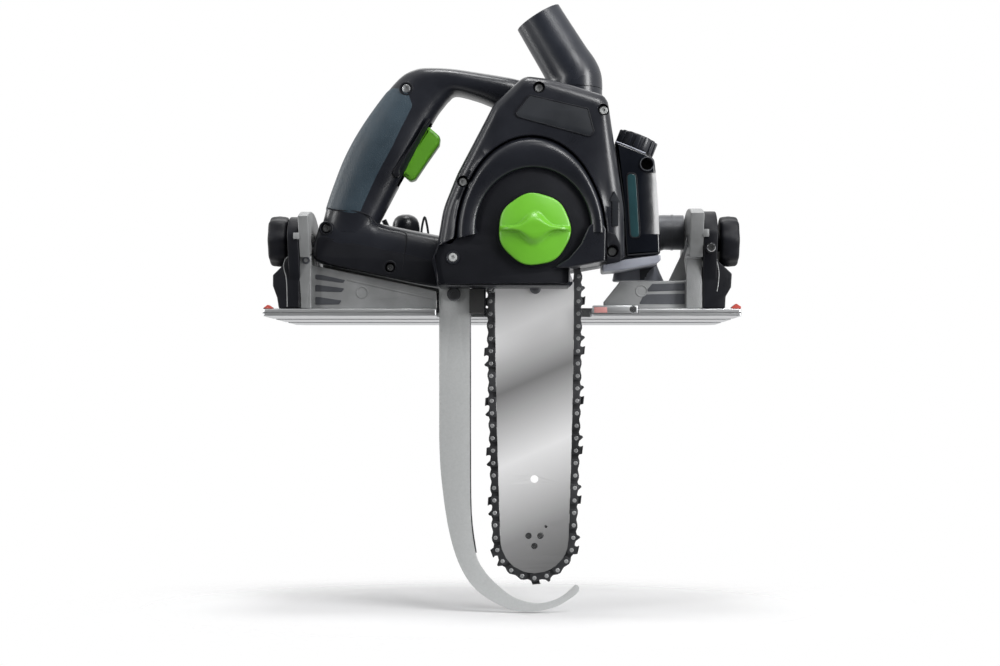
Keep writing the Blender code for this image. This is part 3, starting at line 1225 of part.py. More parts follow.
def handle_outline():
    """The rear handle, whose front end follows the rear side of the body."""
    body = spread(BODY_REAR_SHARES, BODY_LEFT - GAP, HEAD_CLEARANCE, BODY_LENGTH, BODY_HEIGHT)
    foot = body[:2]
    foot[0] = (foot[0][0], HEAD_CLEARANCE)
    top = body[-2:]
    outer = smoothed(handle_place(HANDLE_OUTER_SHARES))
    opening = handle_place(HANDLE_OPENING_SHARES)
    opening[0] = (body[2][0] - GAP, opening[0][1])
    opening = opening[:1] + smoothed(opening[1:-1]) + opening[-1:]
    return outer + [foot[0], foot[1], (body[2][0] - GAP, body[2][1])] + opening + top


def handle_shells():
    """Two shells that meet in the handle's middle plane, hollow inside."""
    outline = handle_outline()
    without_front_tip = outline[CURVE_STEPS:-2]
    core = inset(without_front_tip, HANDLE_WALL + PAD_THICKNESS)
    half = HANDLE_THICKNESS / 2
    pad = pad_outline()
    for side, sign in (("near", -1), ("far", 1)):
        split = HANDLE_Y + sign * GAP / 2
        face = HANDLE_Y + sign * half
        shell = slab(f"handle_shell_{side}", [outline], "Y", min(split, face), max(split, face),
                     "black_plastic")
        soften(shell, HANDLE_EDGE, "high" if sign < 0 else "low")
        inner = face - sign * (HANDLE_WALL + PAD_THICKNESS)
        overrun = split - sign * OVERRUN
        hollow = slab(f"cut_handle_hollow_{side}", [core], "Y", min(inner, overrun),
                      max(inner, overrun))
        outside = face + sign * OVERRUN
        recess_floor = face - sign * (PAD_THICKNESS + GAP)
        recess = slab(f"cut_pad_{side}", [pad], "Y", min(recess_floor, outside),
                      max(recess_floor, outside))
        gate = TRIGGER_THICKNESS / 2 + RUNNING_GAP
        gate_low, gate_high = sorted((HANDLE_Y - sign * OVERRUN, HANDLE_Y + sign * gate))
        window = slab(f"cut_trigger_{side}", [trigger_window()], "Y", gate_low, gate_high)
        cut(shell, hollow, recess, window)
        pad_low, pad_high = sorted((recess_floor + sign * GAP, face))
        slab(f"grip_pad_{side}", [inset(pad, GAP)], "Y", pad_low, pad_high, "grip_grey")


def pad_outline():
    return handle_place(PAD_INNER_SHARES + PAD_OUTER_SHARES)


def trigger_outline():
    return handle_place(TRIGGER_FACE_SHARES + TRIGGER_BACK_SHARES)


def trigger_window():
    """The room that the trigger needs on its way from rest to pulled, with a running gap."""
    pivot = Vector(handle_place([TRIGGER_PIVOT_SHARES])[0])
    places = []
    for step in range(TRIGGER_STEPS + 1):
        turn = Matrix.Rotation(math.radians(-TRIGGER_TRAVEL_DEG * step / TRIGGER_STEPS), 2)
        for point in inset(trigger_outline(), -RUNNING_GAP * 3):
            places.append(pivot + turn @ (Vector(point) - pivot))
    return [tuple(places[index]) for index in convex_hull_2d(places)]


def controls():
    """The trigger on its pivot, the switch behind it, the lock-off button and the board."""
    half = TRIGGER_THICKNESS / 2
    pivot = handle_place([TRIGGER_PIVOT_SHARES])[0]
    slab("trigger", [trigger_outline()], "Y", HANDLE_Y - half, HANDLE_Y + half, "green_plastic",
         origin=(pivot[0], HANDLE_Y, pivot[1]))
    switch = handle_place(SWITCH_SHARES)
    half = HANDLE_THICKNESS / 2 - HANDLE_WALL - PAD_THICKNESS - GAP
    slab("switch_module", [switch], "Y", HANDLE_Y - half, HANDLE_Y + half, "black_plastic")
    board = handle_place(BOARD_SHARES)
    slab("control_board", [board], "Y", HANDLE_Y - half, HANDLE_Y + half, "circuit_green")
    place_of = handle_place([LOCK_BUTTON_SHARES])[0]
    face = HANDLE_Y + HANDLE_THICKNESS / 2
    high = face + LOCK_BUTTON_PROUD
    rod("lock_off_button", LOCK_BUTTON_RADIUS, high - LOCK_BUTTON_LENGTH, high, "Y",
        (place_of[0], 0, place_of[1]), "green_plastic", 16)
    hole = rod("cut_lock_button", LOCK_BUTTON_RADIUS + GAP, high - LOCK_BUTTON_LENGTH,
               face + OVERRUN, "Y", (place_of[0], 0, place_of[1]), steps=16)
    cut(bpy.data.objects["handle_shell_far"], hole)


def oil_system():
    """The oil tank on the front side, its sight window, filler cap and seal."""
    body_front = spread(BODY_FRONT_SHARES, BODY_LEFT, HEAD_CLEARANCE, BODY_LENGTH, BODY_HEIGHT)
    (x_top, z_top), (x_low, z_low), (x_sole, z_sole) = body_front
    left = x_sole + GAP
    outer = spread(TANK_SHARES[1:-1], left, TANK_FLOOR, TANK_LENGTH, TANK_HEIGHT)
    slope = (x_low - x_top) / (z_low - z_top)
    ceiling = TANK_FLOOR + TANK_HEIGHT
    corner = (x_top + slope * (ceiling - z_top) + GAP * 2, ceiling)
    knee = (x_low + GAP * 2, z_low)
    outline = [corner] + outer + [(left + TANK_SHARES[-1][0] * TANK_LENGTH, TANK_FLOOR),
                                  (left + GAP, TANK_FLOOR), knee]
    near = BAR_Y - TANK_SETBACK
    far = near + TANK_DEPTH
    middle = (near + far) / 2
    tank = slab("oil_tank", [outline], "Y", near, far, "gloss_black")
    hollow = slab("cut_tank_hollow", [inset(outline, TANK_WALL)], "Y", near + TANK_WALL,
                  far - TANK_WALL)
    along = Vector((outer[0][0] - corner[0], 0, outer[0][1] - corner[1])).normalized()
    axis = Vector((-along.z, 0, along.x))
    across = axis.cross(along)
    frame = Matrix((along, across, axis)).transposed()
    seat = Vector((corner[0], middle, ceiling)) + along * CAP_OFFSET
    neck = rod("join_tank_neck", NECK_RADIUS, -TANK_WALL, NECK_HEIGHT, frame, seat, steps=24)
    neck_bore = rod("cut_tank_neck", NECK_RADIUS - TANK_WALL, -TANK_WALL * 3,
                    NECK_HEIGHT + OVERRUN, frame, seat, steps=24)
    join(tank, neck)
    cut(tank, hollow, neck_bore)
    window = [(left + WINDOW_OFFSET, TANK_FLOOR + TANK_HEIGHT * WINDOW_FLOOR_SHARE),
              (left + WINDOW_OFFSET + WINDOW_WIDTH,
               TANK_FLOOR + TANK_HEIGHT * WINDOW_FLOOR_SHARE)]
    window += [(x - WINDOW_LEAN, z + WINDOW_HEIGHT) for x, z in reversed(window)]
    cut(tank, slab("cut_tank_window", [inset(window, -GAP)], "Y", near - OVERRUN,
                   near + TANK_WALL / 2))
    slab("sight_window", [window], "Y", near, near + TANK_WALL / 2 - GAP, "clear_window")

    rim = CAP_HEIGHT / 5
    seal_top = NECK_HEIGHT + GAP + rim / 2
    ring("cap_seal", NECK_RADIUS, NECK_RADIUS - TANK_WALL, NECK_HEIGHT + GAP, seal_top, frame,
         seat, "rubber", 24)
    skirt = NECK_RADIUS + GAP
    lid = seal_top + GAP
    top = GAP + CAP_HEIGHT
    profile = [(0, top), (CAP_RADIUS - rim, top), (CAP_RADIUS, top - rim), (CAP_RADIUS, GAP),
               (skirt, GAP), (skirt, lid), (0, lid)]
    cap = turned("oil_cap", profile, frame, seat, "black_plastic", CAP_RIBS * 2)
    circle = CAP_RADIUS + rim / 4
    for index in range(CAP_RIBS):
        angle = 2 * math.pi * (index + CAP_GROOVE_SHARE) / CAP_RIBS
        groove = rod(f"cut_cap_rib_{index}", rim / 2, rim, top + OVERRUN, frame,
                     seat + (along * math.cos(angle) + across * math.sin(angle)) * circle,
                     steps=8)
        cut(cap, groove)
    return axis, seat


def dust_port():
    """The dust elbow: a short upright neck and a leg that leans to the rear."""
    floor = port_floor() + GAP
    knee = floor + PORT_NECK_HEIGHT
    x, y = port_x(), port_y()
    route = [(x, y, floor), (x, y, knee)]
    radii = [PORT_BASE_RADIUS, PORT_BASE_RADIUS]
    mouth = Vector((x - PORT_LEG_REACH, y, knee + PORT_LEG_RISE))
    lean = Vector((x - PORT_LEG_REACH * PORT_BEND_SHARE, y, knee + PORT_LEG_RISE / 4))
    for point, share in ((lean, 1 / 4), (mouth, 1)):
        route.append(tuple(point))
        radii.append(PORT_BASE_RADIUS + (PORT_MOUTH_RADIUS - PORT_BASE_RADIUS) * share)
    port = tube("dust_port", route, radii, "dark_casting", sides=6)
    direction = (mouth - lean).normalized() * OVERRUN
    inner_route = [(x, y, floor - OVERRUN)] + route[1:-1] + [tuple(mouth + direction)]
    bore = tube("cut_dust_bore", inner_route, [radius - PORT_WALL for radius in radii], sides=6)
    cut(port, bore)
    set_origin(port, Vector((x, y, floor)))


def set_origin(target, point):
    """Move an upright mesh's origin to a point without moving the mesh."""
    shift = point - target.location
    for vertex in target.data.vertices:
        vertex.co -= shift
    target.location = point
    bpy.context.view_layer.update()


def links_to_the_segments():
    """What carries the body on the two swivel segments."""
    y_low = BAR_Y + RAIL_SETBACK
    body_left = BODY_LEFT - GAP
    box("carrier_rail", (-REAR_SEGMENT_INSIDE + GAP, y_low, RAIL_FLOOR),
        (body_left, y_low + RAIL_THICKNESS, RAIL_FLOOR + RAIL_HEIGHT), "dark_casting")
    inlet_floor = RAIL_FLOOR + RAIL_HEIGHT + GAP
    inlet_edge = INLET_RADIUS / 3
    top = inlet_floor + INLET_HEIGHT
    profile = [(0, top), (INLET_RADIUS - inlet_edge, top), (INLET_RADIUS, top - inlet_edge),
               (INLET_RADIUS, inlet_floor), (0, inlet_floor)]
    turned("mains_inlet", profile, "Z", (BAR_X - INLET_REACH, y_low + RAIL_THICKNESS / 2, 0),
           "black_plastic", 20)
    y = BAR_Y + FRONT_TUBE_SETBACK
    end = FRONT_SEGMENT_INSIDE - GAP
    start = BODY_LEFT + BODY_LENGTH + GAP
    flat = spread(FRONT_TUBE_SHARES, start, FRONT_TUBE_LOW, end - start,
                  FRONT_TUBE_TOP - FRONT_TUBE_LOW)
    route = [(x, y, z) for x, z in flat]
    tube("front_handle", route, [FRONT_TUBE_RADIUS] * len(route), "dark_casting", sides=5)
    catcher_left = BAR_X - BAR_WIDTH / 2 - CHAIN_RIVET_RISE - CHAIN_CUTTER_RISE - CATCHER_LENGTH
    near = BAR_Y - CHAIN_THICKNESS / 2 - RUNNING_GAP - CATCHER_DEPTH
    box("chain_catcher", (catcher_left, near, HEAD_CLEARANCE - GAP - CATCHER_DROP),
        (catcher_left + CATCHER_LENGTH, near + CATCHER_DEPTH, HEAD_CLEARANCE - GAP), "rubber")


def carry(names, empty):
    """Hang pieces on an empty without moving them."""
    for name in names:
        item = bpy.data.objects[name]
        item.parent = empty
        item.matrix_parent_inverse = empty.matrix_world.inverted()


def build_saw():
    base_plate()
    for side, sign, sizes in (
            ("rear", -1, (REAR_SEGMENT_INSIDE, REAR_SEGMENT_THICKNESS,
                          REAR_BRACKET_THICKNESS, REAR_STEM_LENGTH)),
            ("front", 1, (FRONT_SEGMENT_INSIDE, FRONT_SEGMENT_THICKNESS,
                          FRONT_BRACKET_THICKNESS, FRONT_STEM_LENGTH))):
        bracket_set(side, sign, *sizes)
    base_names = {item.name for item in SAW.objects} - {"rear_segment", "front_segment"}
    body_shell()
    gear_housing()
    motor_housing()
    gear_train()
    sprocket_cover()
    bar_set()
    saw_chain()
    riving_knife()
    handle_shells()
    controls()
    oil_system()
    dust_port()
    links_to_the_segments()
    swing = head_empty()
    carry([item.name for item in SAW.objects if item.name not in base_names], swing)
    for item in SAW.objects:
        item.data.shade_smooth()
        item.data.set_sharp_from_angle(angle=math.radians(SMOOTH_UNDER_DEG))


build_saw()
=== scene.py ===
"""The carpentry chain saw's visible pieces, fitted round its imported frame.

Lengths in this script are millimetres, and a mesh is brought to metres as it is finished.
"""
import json
import math

import bmesh
import bpy
from mathutils import Matrix, Vector


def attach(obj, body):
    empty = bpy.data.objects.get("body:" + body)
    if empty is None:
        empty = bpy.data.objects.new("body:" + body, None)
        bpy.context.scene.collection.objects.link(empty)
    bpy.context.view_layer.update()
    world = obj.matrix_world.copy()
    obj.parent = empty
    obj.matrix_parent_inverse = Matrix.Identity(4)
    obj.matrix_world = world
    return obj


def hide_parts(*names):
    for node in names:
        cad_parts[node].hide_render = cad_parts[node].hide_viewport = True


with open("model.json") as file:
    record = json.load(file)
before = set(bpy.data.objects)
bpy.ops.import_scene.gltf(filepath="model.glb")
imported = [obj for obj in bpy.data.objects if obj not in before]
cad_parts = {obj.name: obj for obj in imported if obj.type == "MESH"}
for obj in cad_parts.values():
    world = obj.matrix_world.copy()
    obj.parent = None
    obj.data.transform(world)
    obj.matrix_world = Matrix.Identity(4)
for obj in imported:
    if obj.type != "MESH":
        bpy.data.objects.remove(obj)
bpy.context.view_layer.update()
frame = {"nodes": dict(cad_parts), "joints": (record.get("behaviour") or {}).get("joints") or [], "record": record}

MM = 0.001
BAR_Y = -81.0
SIDE_FRAMES = {
    "X": Matrix(((0, 0, 1), (1, 0, 0), (0, 1, 0))),
    "Y": Matrix(((1, 0, 0), (0, 0, -1), (0, 1, 0))),
    "Z": Matrix.Identity(3),
}


# Node trees

def add_node(tree, kind, **values):
    """Adds a node, and sets its properties and sockets by name."""
    node = tree.nodes.new(kind)
    for name, value in values.items():
        if name in node.bl_rna.properties:
            setattr(node, name, value)
        else:
            plug(tree, node.inputs[name.replace("_", " ")], value)
    return node


def plug(tree, socket, value):
    """Links a socket to a socket, or sets it to a value."""
    if isinstance(value, bpy.types.NodeSocket):
        tree.links.new(value, socket)
    else:
        socket.default_value = value


def new_group(name, kind, inputs, outputs):
    """A node group with named inputs (name, type, default) and outputs (name, type)."""
    tree = bpy.data.node_groups.new(name, kind)
    for label, socket_type, default in inputs:
        made = tree.interface.new_socket(label, in_out="INPUT", socket_type=socket_type)
        if default is not None:
            made.default_value = default
    for label, socket_type in outputs:
        tree.interface.new_socket(label, in_out="OUTPUT", socket_type=socket_type)
    return tree, tree.nodes.new("NodeGroupInput").outputs, tree.nodes.new("NodeGroupOutput").inputs


def moulded_grain():
    """Fine spark-eroded grain of a moulding: its normal, and a mask of slow handling marks."""
    tree, given, result = new_group(
        "moulded_grain", "ShaderNodeTree",
        [("Grain Scale", "NodeSocketFloat", 2200.0), ("Depth", "NodeSocketFloat", 0.2),
         ("Mark Scale", "NodeSocketFloat", 22.0)],
        [("Normal", "NodeSocketVector"), ("Marks", "NodeSocketFloat")])
    place = add_node(tree, "ShaderNodeTexCoord").outputs["Object"]
    cells = add_node(tree, "ShaderNodeTexVoronoi", feature="SMOOTH_F1", Vector=place,
                     Scale=given["Grain Scale"])
    fine = add_node(tree, "ShaderNodeTexNoise", Vector=place, Scale=given["Grain Scale"],
                    Detail=2.0)
    height = add_node(tree, "ShaderNodeMath", operation="ADD")
    plug(tree, height.inputs[0], cells.outputs["Distance"])
    plug(tree, height.inputs[1], fine.outputs["Fac"])
    bump = add_node(tree, "ShaderNodeBump", Strength=given["Depth"], Distance=0.0002,
                    Height=height.outputs["Value"])
    slow = add_node(tree, "ShaderNodeTexNoise", Vector=place, Scale=given["Mark Scale"],
                    Detail=4.0, Roughness=0.6)
    spread = add_node(tree, "ShaderNodeMapRange", Value=slow.outputs["Fac"], From_Min=0.3,
                      From_Max=0.7)
    plug(tree, result["Normal"], bump.outputs["Normal"])
    plug(tree, result["Marks"], spread.outputs["Result"])
    return tree


def drawn_lines():
    """Fine lines along one direction, as on ground, rolled or extruded metal."""
    tree, given, result = new_group(
        "drawn_lines", "ShaderNodeTree",
        [("Stretch", "NodeSocketVector", (1.0, 1.0, 1.0)), ("Line Scale", "NodeSocketFloat", 900.0),
         ("Depth", "NodeSocketFloat", 0.1)],
        [("Normal", "NodeSocketVector"), ("Marks", "NodeSocketFloat")])
    place = add_node(tree, "ShaderNodeTexCoord").outputs["Object"]
    pulled = add_node(tree, "ShaderNodeVectorMath", operation="MULTIPLY")
    plug(tree, pulled.inputs[0], place)
    plug(tree, pulled.inputs[1], given["Stretch"])
    lines = add_node(tree, "ShaderNodeTexNoise", Vector=pulled.outputs["Vector"],
                     Scale=given["Line Scale"], Detail=3.0)
    bump = add_node(tree, "ShaderNodeBump", Strength=given["Depth"], Distance=0.0001,
                    Height=lines.outputs["Fac"])
    plug(tree, result["Normal"], bump.outputs["Normal"])
    plug(tree, result["Marks"], lines.outputs["Fac"])
    return tree


GRAIN = moulded_grain()
LINES = drawn_lines()
SMOOTHEST = 0.02


def colour_mix(tree, one, two, **values):
    """A mix of two colours, each a socket or a value."""
    mix = add_node(tree, "ShaderNodeMix", data_type="RGBA", **values)
    plug(tree, mix.inputs[6], one)
    plug(tree, mix.inputs[7], two)
    return mix.outputs[2]


def number_mix(tree, share, one, two):
    """A mix of two numbers, each a socket or a value."""
    mix = add_node(tree, "ShaderNodeMix", data_type="FLOAT", Factor=share)
    plug(tree, mix.inputs[2], one)
    plug(tree, mix.inputs[3], two)
    return mix.outputs[0]


def finish(name, colour, roughness, metallic=0.0, grain=(2200, 0.2), lines=None, spread=0.08,
           tone=0.25, coat=0.0, specular=0.5):
    """A surface: colour and roughness wander a little with the marks left by making and use."""
    made = bpy.data.materials.new(name)
    made.use_nodes = True
    tree = made.node_tree
    shader = tree.nodes["Principled BSDF"]
    if lines:
        stretch, scale, depth = lines
        marks = add_node(tree, "ShaderNodeGroup", node_tree=LINES, Stretch=stretch,
                         Line_Scale=scale, Depth=depth)
    else:
        scale, depth = grain
        marks = add_node(tree, "ShaderNodeGroup", node_tree=GRAIN, Grain_Scale=scale, Depth=depth)
    mask = marks.outputs["Marks"]
    low = [channel * (1 - tone) for channel in colour]
    high = [min(channel * (1 + tone), 1.0) for channel in colour]
    rough = add_node(tree, "ShaderNodeMapRange", Value=mask,
                     To_Min=max(roughness - spread, SMOOTHEST), To_Max=roughness + spread)
    plug(tree, shader.inputs["Base Color"],
         colour_mix(tree, (*low, 1.0), (*high, 1.0), Factor=mask))
    plug(tree, shader.inputs["Roughness"], rough.outputs["Result"])
    plug(tree, shader.inputs["Normal"], marks.outputs["Normal"])
    shader.inputs["Metallic"].default_value = metallic
    shader.inputs["Coat Weight"].default_value = coat
    shader.inputs["Specular IOR Level"].default_value = specular
    return made


def painted_reflection_bands(made, low_z, high_z, shades, lean=0.0):
    """Multiplies a finish by (share, grey) bands between two heights: painted reflections set into its colour;
    lean tilts the bands.
    """
    tree = made.node_tree
    base = tree.nodes["Principled BSDF"].inputs["Base Color"]
    plain = base.links[0].from_socket
    place = add_node(tree, "ShaderNodeTexCoord").outputs["Object"]
    tilted = add_node(tree, "ShaderNodeVectorMath", operation="DOT_PRODUCT")
    plug(tree, tilted.inputs[0], place)
    plug(tree, tilted.inputs[1], (-lean, 0.0, 1.0))
    share = add_node(tree, "ShaderNodeMapRange", Value=tilted.outputs["Value"],
                     From_Min=low_z * MM, From_Max=high_z * MM)
    ramp = add_node(tree, "ShaderNodeValToRGB", Fac=share.outputs["Result"])
    points = ramp.color_ramp.elements
    while len(points) < len(shades):
        points.new(0.5)
    for point, (at, grey) in zip(points, shades):
        point.position = at
        point.color = (grey, grey, grey, 1.0)
    plug(tree, base, colour_mix(tree, plain, ramp.outputs["Color"], blend_type="MULTIPLY",
                                Factor=1.0))
    return made


SATIN_BLACK = finish("satin_black", (0.009, 0.010, 0.014), 0.30,
                     grain=(2400, 0.15), spread=0.05)
FLAT_BLACK = finish("flat_black", (0.004, 0.0045, 0.007), 0.50,
                    grain=(2400, 0.3), specular=0.22)
LABEL_BLACK = finish("label_black", (0.015, 0.017, 0.021), 0.40,
                     grain=(2400, 0.1))
TANK_BLACK = finish("tank_black", (0.004, 0.005, 0.008), 0.20,
                    grain=(900, 0.03), coat=0.2)
SLATE_GRIP = finish("slate_grip", (0.017, 0.032, 0.045), 0.46, grain=(1500, 0.7))
LEAF_GREEN = finish("leaf_green", (0.115, 0.370, 0.018), 0.34,
                    grain=(2600, 0.10), tone=0.08)
RED_TIP = finish("red_tip", (0.400, 0.055, 0.040), 0.45, tone=0.1)
ROSE_SLIDE = finish("rose_slide", (0.44, 0.20, 0.19), 0.5, tone=0.1)
PORT_GREY = finish("port_grey", (0.014, 0.016, 0.022), 0.30, grain=(2000, 0.1))
FLANGE_GREY = finish("flange_grey", (0.240, 0.250, 0.290), 0.35,
                     grain=(2000, 0.1))
CAST_ALLOY = finish("cast_alloy", (0.225, 0.230, 0.232), 0.44, metallic=0.35,
                    grain=(1400, 0.35))
DARK_CAST = finish("dark_casting", (0.060, 0.063, 0.071), 0.40, metallic=0.2,
                   grain=(1300, 0.4))
PLATE_ALLOY = finish("plate_alloy", (0.640, 0.650, 0.660), 0.36, metallic=0.85,
                     lines=((0.03, 1.0, 1.0), 1500, 0.15), tone=0.08)
# The bar's light and dark bands are painted reflections, greys multiplied into its colour.
BAR_PAINTED_REFLECTIONS = [(0.0, 0.12), (0.14, 0.30), (0.25, 0.62), (0.36, 0.92), (0.45, 0.60), (0.56, 0.22),
             (0.64, 0.52), (0.72, 0.92), (1.0, 1.0)]
BAR_STEEL = painted_reflection_bands(
    finish("bar_steel", (0.86, 0.86, 0.865), 0.30, metallic=0.25, grain=(900, 0.0),
           spread=0.0, tone=0.0), -215, 65, BAR_PAINTED_REFLECTIONS, lean=0.45)
KNIFE_STEEL = finish("knife_steel", (0.430, 0.440, 0.440), 0.42, metallic=0.3,
                     lines=((1.0, 1.0, 1.0), 700, 0.12), tone=0.10)
# The chain's lighter top is a painted reflection, greys multiplied into its colour with height.
CHAIN_PAINTED_REFLECTIONS = [(0.0, 0.7), (0.6, 1.0), (0.8, 1.8), (1.0, 2.6)]
CHAIN_STEEL = painted_reflection_bands(
    finish("chain_steel", (0.060, 0.061, 0.065), 0.36, metallic=0.6,
           grain=(700, 0.3), tone=0.5), -215, 65, CHAIN_PAINTED_REFLECTIONS)
RIVET_STEEL = finish("rivet_steel", (0.420, 0.425, 0.430), 0.30, metallic=0.7,
                     grain=(700, 0.1), tone=0.3)
SCREW_STEEL = finish("screw_steel", (0.620, 0.630, 0.640), 0.28, metallic=1.0,
                     grain=(900, 0.1))
COPPER = finish("copper", (0.720, 0.330, 0.160), 0.35, metallic=1.0, grain=(900, 0.1))
CARBON = finish("carbon", (0.030, 0.030, 0.032), 0.70)
IRON = finish("iron_stack", (0.200, 0.205, 0.215), 0.50, metallic=0.8,
              lines=((1.0, 0.02, 1.0), 1600, 0.3))
RUBBER = finish("rubber", (0.022, 0.022, 0.022), 0.75, grain=(1200, 0.5))
BOARD_GREEN = finish("circuit_green", (0.030, 0.180, 0.080), 0.40,
                     grain=(500, 0.3))
WINDOW = finish("clear_window", (0.018, 0.050, 0.057), 0.14, grain=(300, 0.03),
                coat=0.6)


# Outlines, as (a, b) or (a, b, corner radius) in the plane of a flat piece

def mixed(one, two, share):
    """What lies at a share of the way from one to two."""
    return tuple(a + (b - a) * share for a, b in zip(one, two))


def through(points, steps):
    """A smooth line through the points."""
    ends = [points[0]] + points + [points[-1]]
    line = []
    for group in zip(ends, ends[1:], ends[2:], ends[3:]):
        before, here, there, after = (Vector(point) for point in group)
        for step in range(steps):
            t = step / steps
            bend = (before * 2 - here * 5 + there * 4 - after) * t ** 2
            twist = (here * 3 - before - there * 3 + after) * t ** 3
            line.append(tuple(here + ((there - before) * t + bend + twist) / 2))
    return line + [tuple(points[-1])]


def rounded(points, radius=0.0, steps=5):
    """An outline whose corners are rounded to their own radius or to a common one."""
    result = []
    count = len(points)
    for index, point in enumerate(points):
        corner = Vector(point[:2])
        size = point[2] if len(point) > 2 else radius
        if not size:
            result.append(tuple(corner))
            continue
        before = Vector(points[index - 1][:2]) - corner
        after = Vector(points[(index + 1) % count][:2]) - corner
        half = (math.pi - before.angle(after)) / 2
        trim = min(size * math.tan(half), before.length * 0.48, after.length * 0.48)
        first = corner + before.normalized() * trim
        last = corner + after.normalized() * trim
        for step in range(steps + 1):
            t = step / steps
            result.append(tuple(first.lerp(corner, t).lerp(corner.lerp(last, t), t)))
    return result


def circle(centre, radius, steps=32, start=0, end=360, tall=None):
    """Points of an ellipse or arc, with angles from the first axis towards the second."""
    tall = radius if tall is None else tall
    full = abs(end - start) >= 360
    points = []
    for step in range(steps + (0 if full else 1)):
        angle = math.radians(start + (end - start) * step / steps)
        points.append((centre[0] + radius * math.cos(angle), centre[1] + tall * math.sin(angle)))
    return points


def reach(outline, centre, angle):
    """How far an outline lies from a centre in one direction."""
    heading = Vector((math.cos(angle), math.sin(angle)))
    best = 0.0
    for one, two in zip(outline, outline[1:] + outline[:1]):
        start = Vector(one) - Vector(centre)
        side = Vector(two) - Vector(one)
        across = heading.x * side.y - heading.y * side.x
        if abs(across) < 1e-9:
            continue
        far = (start.x * side.y - start.y * side.x) / across
        along = (start.x * heading.y - start.y * heading.x) / across
        if far > 0 and -1e-6 <= along <= 1 + 1e-6:
            best = max(best, far)
    return best


# Shapes, as bmeshes in millimetres

def skin(loops, closed=False):
    """A skin over loops with equally many points; the ends are capped or joined."""
    shape = bmesh.new()
    rows = [[shape.verts.new(point) for point in loop] for loop in loops]
    pairs = list(zip(rows, rows[1:]))
    if closed:
        pairs.append((rows[-1], rows[0]))
    count = len(rows[0])
    for low, high in pairs:
        for index in range(count):
            after = (index + 1) % count
            shape.faces.new((low[index], low[after], high[after], high[index]))
    if not closed:
        shape.faces.new(rows[0])
        shape.faces.new(rows[-1])
    return shape


def panel(outlines, low, high, edge=0.8, axis="Y", steps=2):
    """A flat piece with rounded edges. The first outline is its rim, and the rest are holes."""
    curve = bpy.data.curves.new("outline", "CURVE")
    curve.dimensions = "2D"
    curve.fill_mode = "BOTH"
    curve.extrude = (high - low) / 2 - edge
    curve.bevel_depth = edge
    curve.bevel_resolution = steps
    curve.offset = -edge
    for outline in outlines:
        spline = curve.splines.new("POLY")
        spline.points.add(len(outline) - 1)
        spline.use_cyclic_u = True
        for point, (across, up) in zip(spline.points, outline):
            point.co = (across, up, 0, 1)
    helper = bpy.data.objects.new("outline", curve)
    bpy.context.scene.collection.objects.link(helper)
    bpy.context.view_layer.update()
    mesh = bpy.data.meshes.new_from_object(
        helper.evaluated_get(bpy.context.evaluated_depsgraph_get()))
    bpy.data.objects.remove(helper, do_unlink=True)
    shape = bmesh.new()
    shape.from_mesh(mesh)
    bpy.data.meshes.remove(mesh)
    turn = SIDE_FRAMES[axis]
    index = "XYZ".index(axis)
    for vertex in shape.verts:
        vertex.co = turn @ vertex.co
        vertex.co[index] += (low + high) / 2
    return shape


def turned(profile, centre, axis="Y", steps=64, wave=None):
    """A turned shape from (radius, place along the axis); closed where its ends lie apart."""
    loops = []
    for radius, along in profile:
        loop = []
        for step in range(steps):
            angle = 2 * math.pi * step / steps
            size = max(radius, 0.0001)
            if wave and radius > wave[2]:
                size += wave[0] * math.cos(wave[1] * angle)
            point = Vector((size * math.cos(angle), size * math.sin(angle), 0))
            if isinstance(axis, str):
                flat = SIDE_FRAMES[axis] @ point
                flat["XYZ".index(axis)] = along
            else:
                flat = axis @ Vector((point.x, point.y, along))
            loop.append(flat + Vector(centre))
        loops.append(loop)
    open_ends = profile[0][0] > 0.001 or profile[-1][0] > 0.001
    return skin(loops, closed=open_ends)


def sleeve(stations, sides, power):
    """A skin round stations of (outer point, inner point, half thickness, middle y)."""
    loops = []
    for outer_x, outer_z, inner_x, inner_z, half, middle in stations:
        centre = Vector(((outer_x + inner_x) / 2, 0, (outer_z + inner_z) / 2))
        along = Vector((outer_x - inner_x, 0, outer_z - inner_z)) / 2
        loop = []
        for step in range(sides):
            angle = 2 * math.pi * step / sides
            loop.append(around(centre, along, half, middle, angle, power))
        loops.append(loop)
    return skin(loops)


def around(centre, along, half, middle, angle, power):
    """A point of a rounded section, at an angle from its outer side."""
    cosine, sine = math.cos(angle), math.sin(angle)
    share = math.copysign(abs(cosine) ** (2 / power), cosine)
    rise = math.copysign(abs(sine) ** (2 / power), sine)
    point = centre + along * share
    return Vector((point.x, middle - half * rise, point.z))


def pipe(points, radii, sides, wall=None):
    """A tube through points with its own radius at each; without a wall it is solid."""
    loops = ring_loops(points, radii, sides)
    if wall is None:
        return skin(loops)
    inside = ring_loops(points, [radius - wall for radius in radii], sides)
    return skin(loops + inside[::-1], closed=True)


def ring_loops(points, radii, sides):
    """Rings square to a line through points, without twist."""
    points = [Vector(point) for point in points]
    loops = []
    side = None
    for index, point in enumerate(points):
        before = points[max(index - 1, 0)]
        after = points[min(index + 1, len(points) - 1)]
        heading = (after - before).normalized()
        if side is None:
            side = heading.orthogonal().normalized()
        side = (side - heading * side.dot(heading)).normalized()
        other = heading.cross(side)
        loop = []
        for step in range(sides):
            angle = 2 * math.pi * step / sides
            loop.append(point + (side * math.cos(angle) + other * math.sin(angle)) * radii[index])
        loops.append(loop)
    return loops


def block(low, high, edge=0.6):
    """A box with rounded edges."""
    shape = bmesh.new()
    bmesh.ops.create_cube(shape, size=1)
    size = [high[i] - low[i] for i in range(3)]
    for vertex in shape.verts:
        vertex.co = [low[i] + (vertex.co[i] + 0.5) * size[i] for i in range(3)]
    if edge:
        bmesh.ops.bevel(shape, geom=shape.edges[:], offset=edge, segments=2, affect="EDGES",
                        profile=0.5)
    return shape


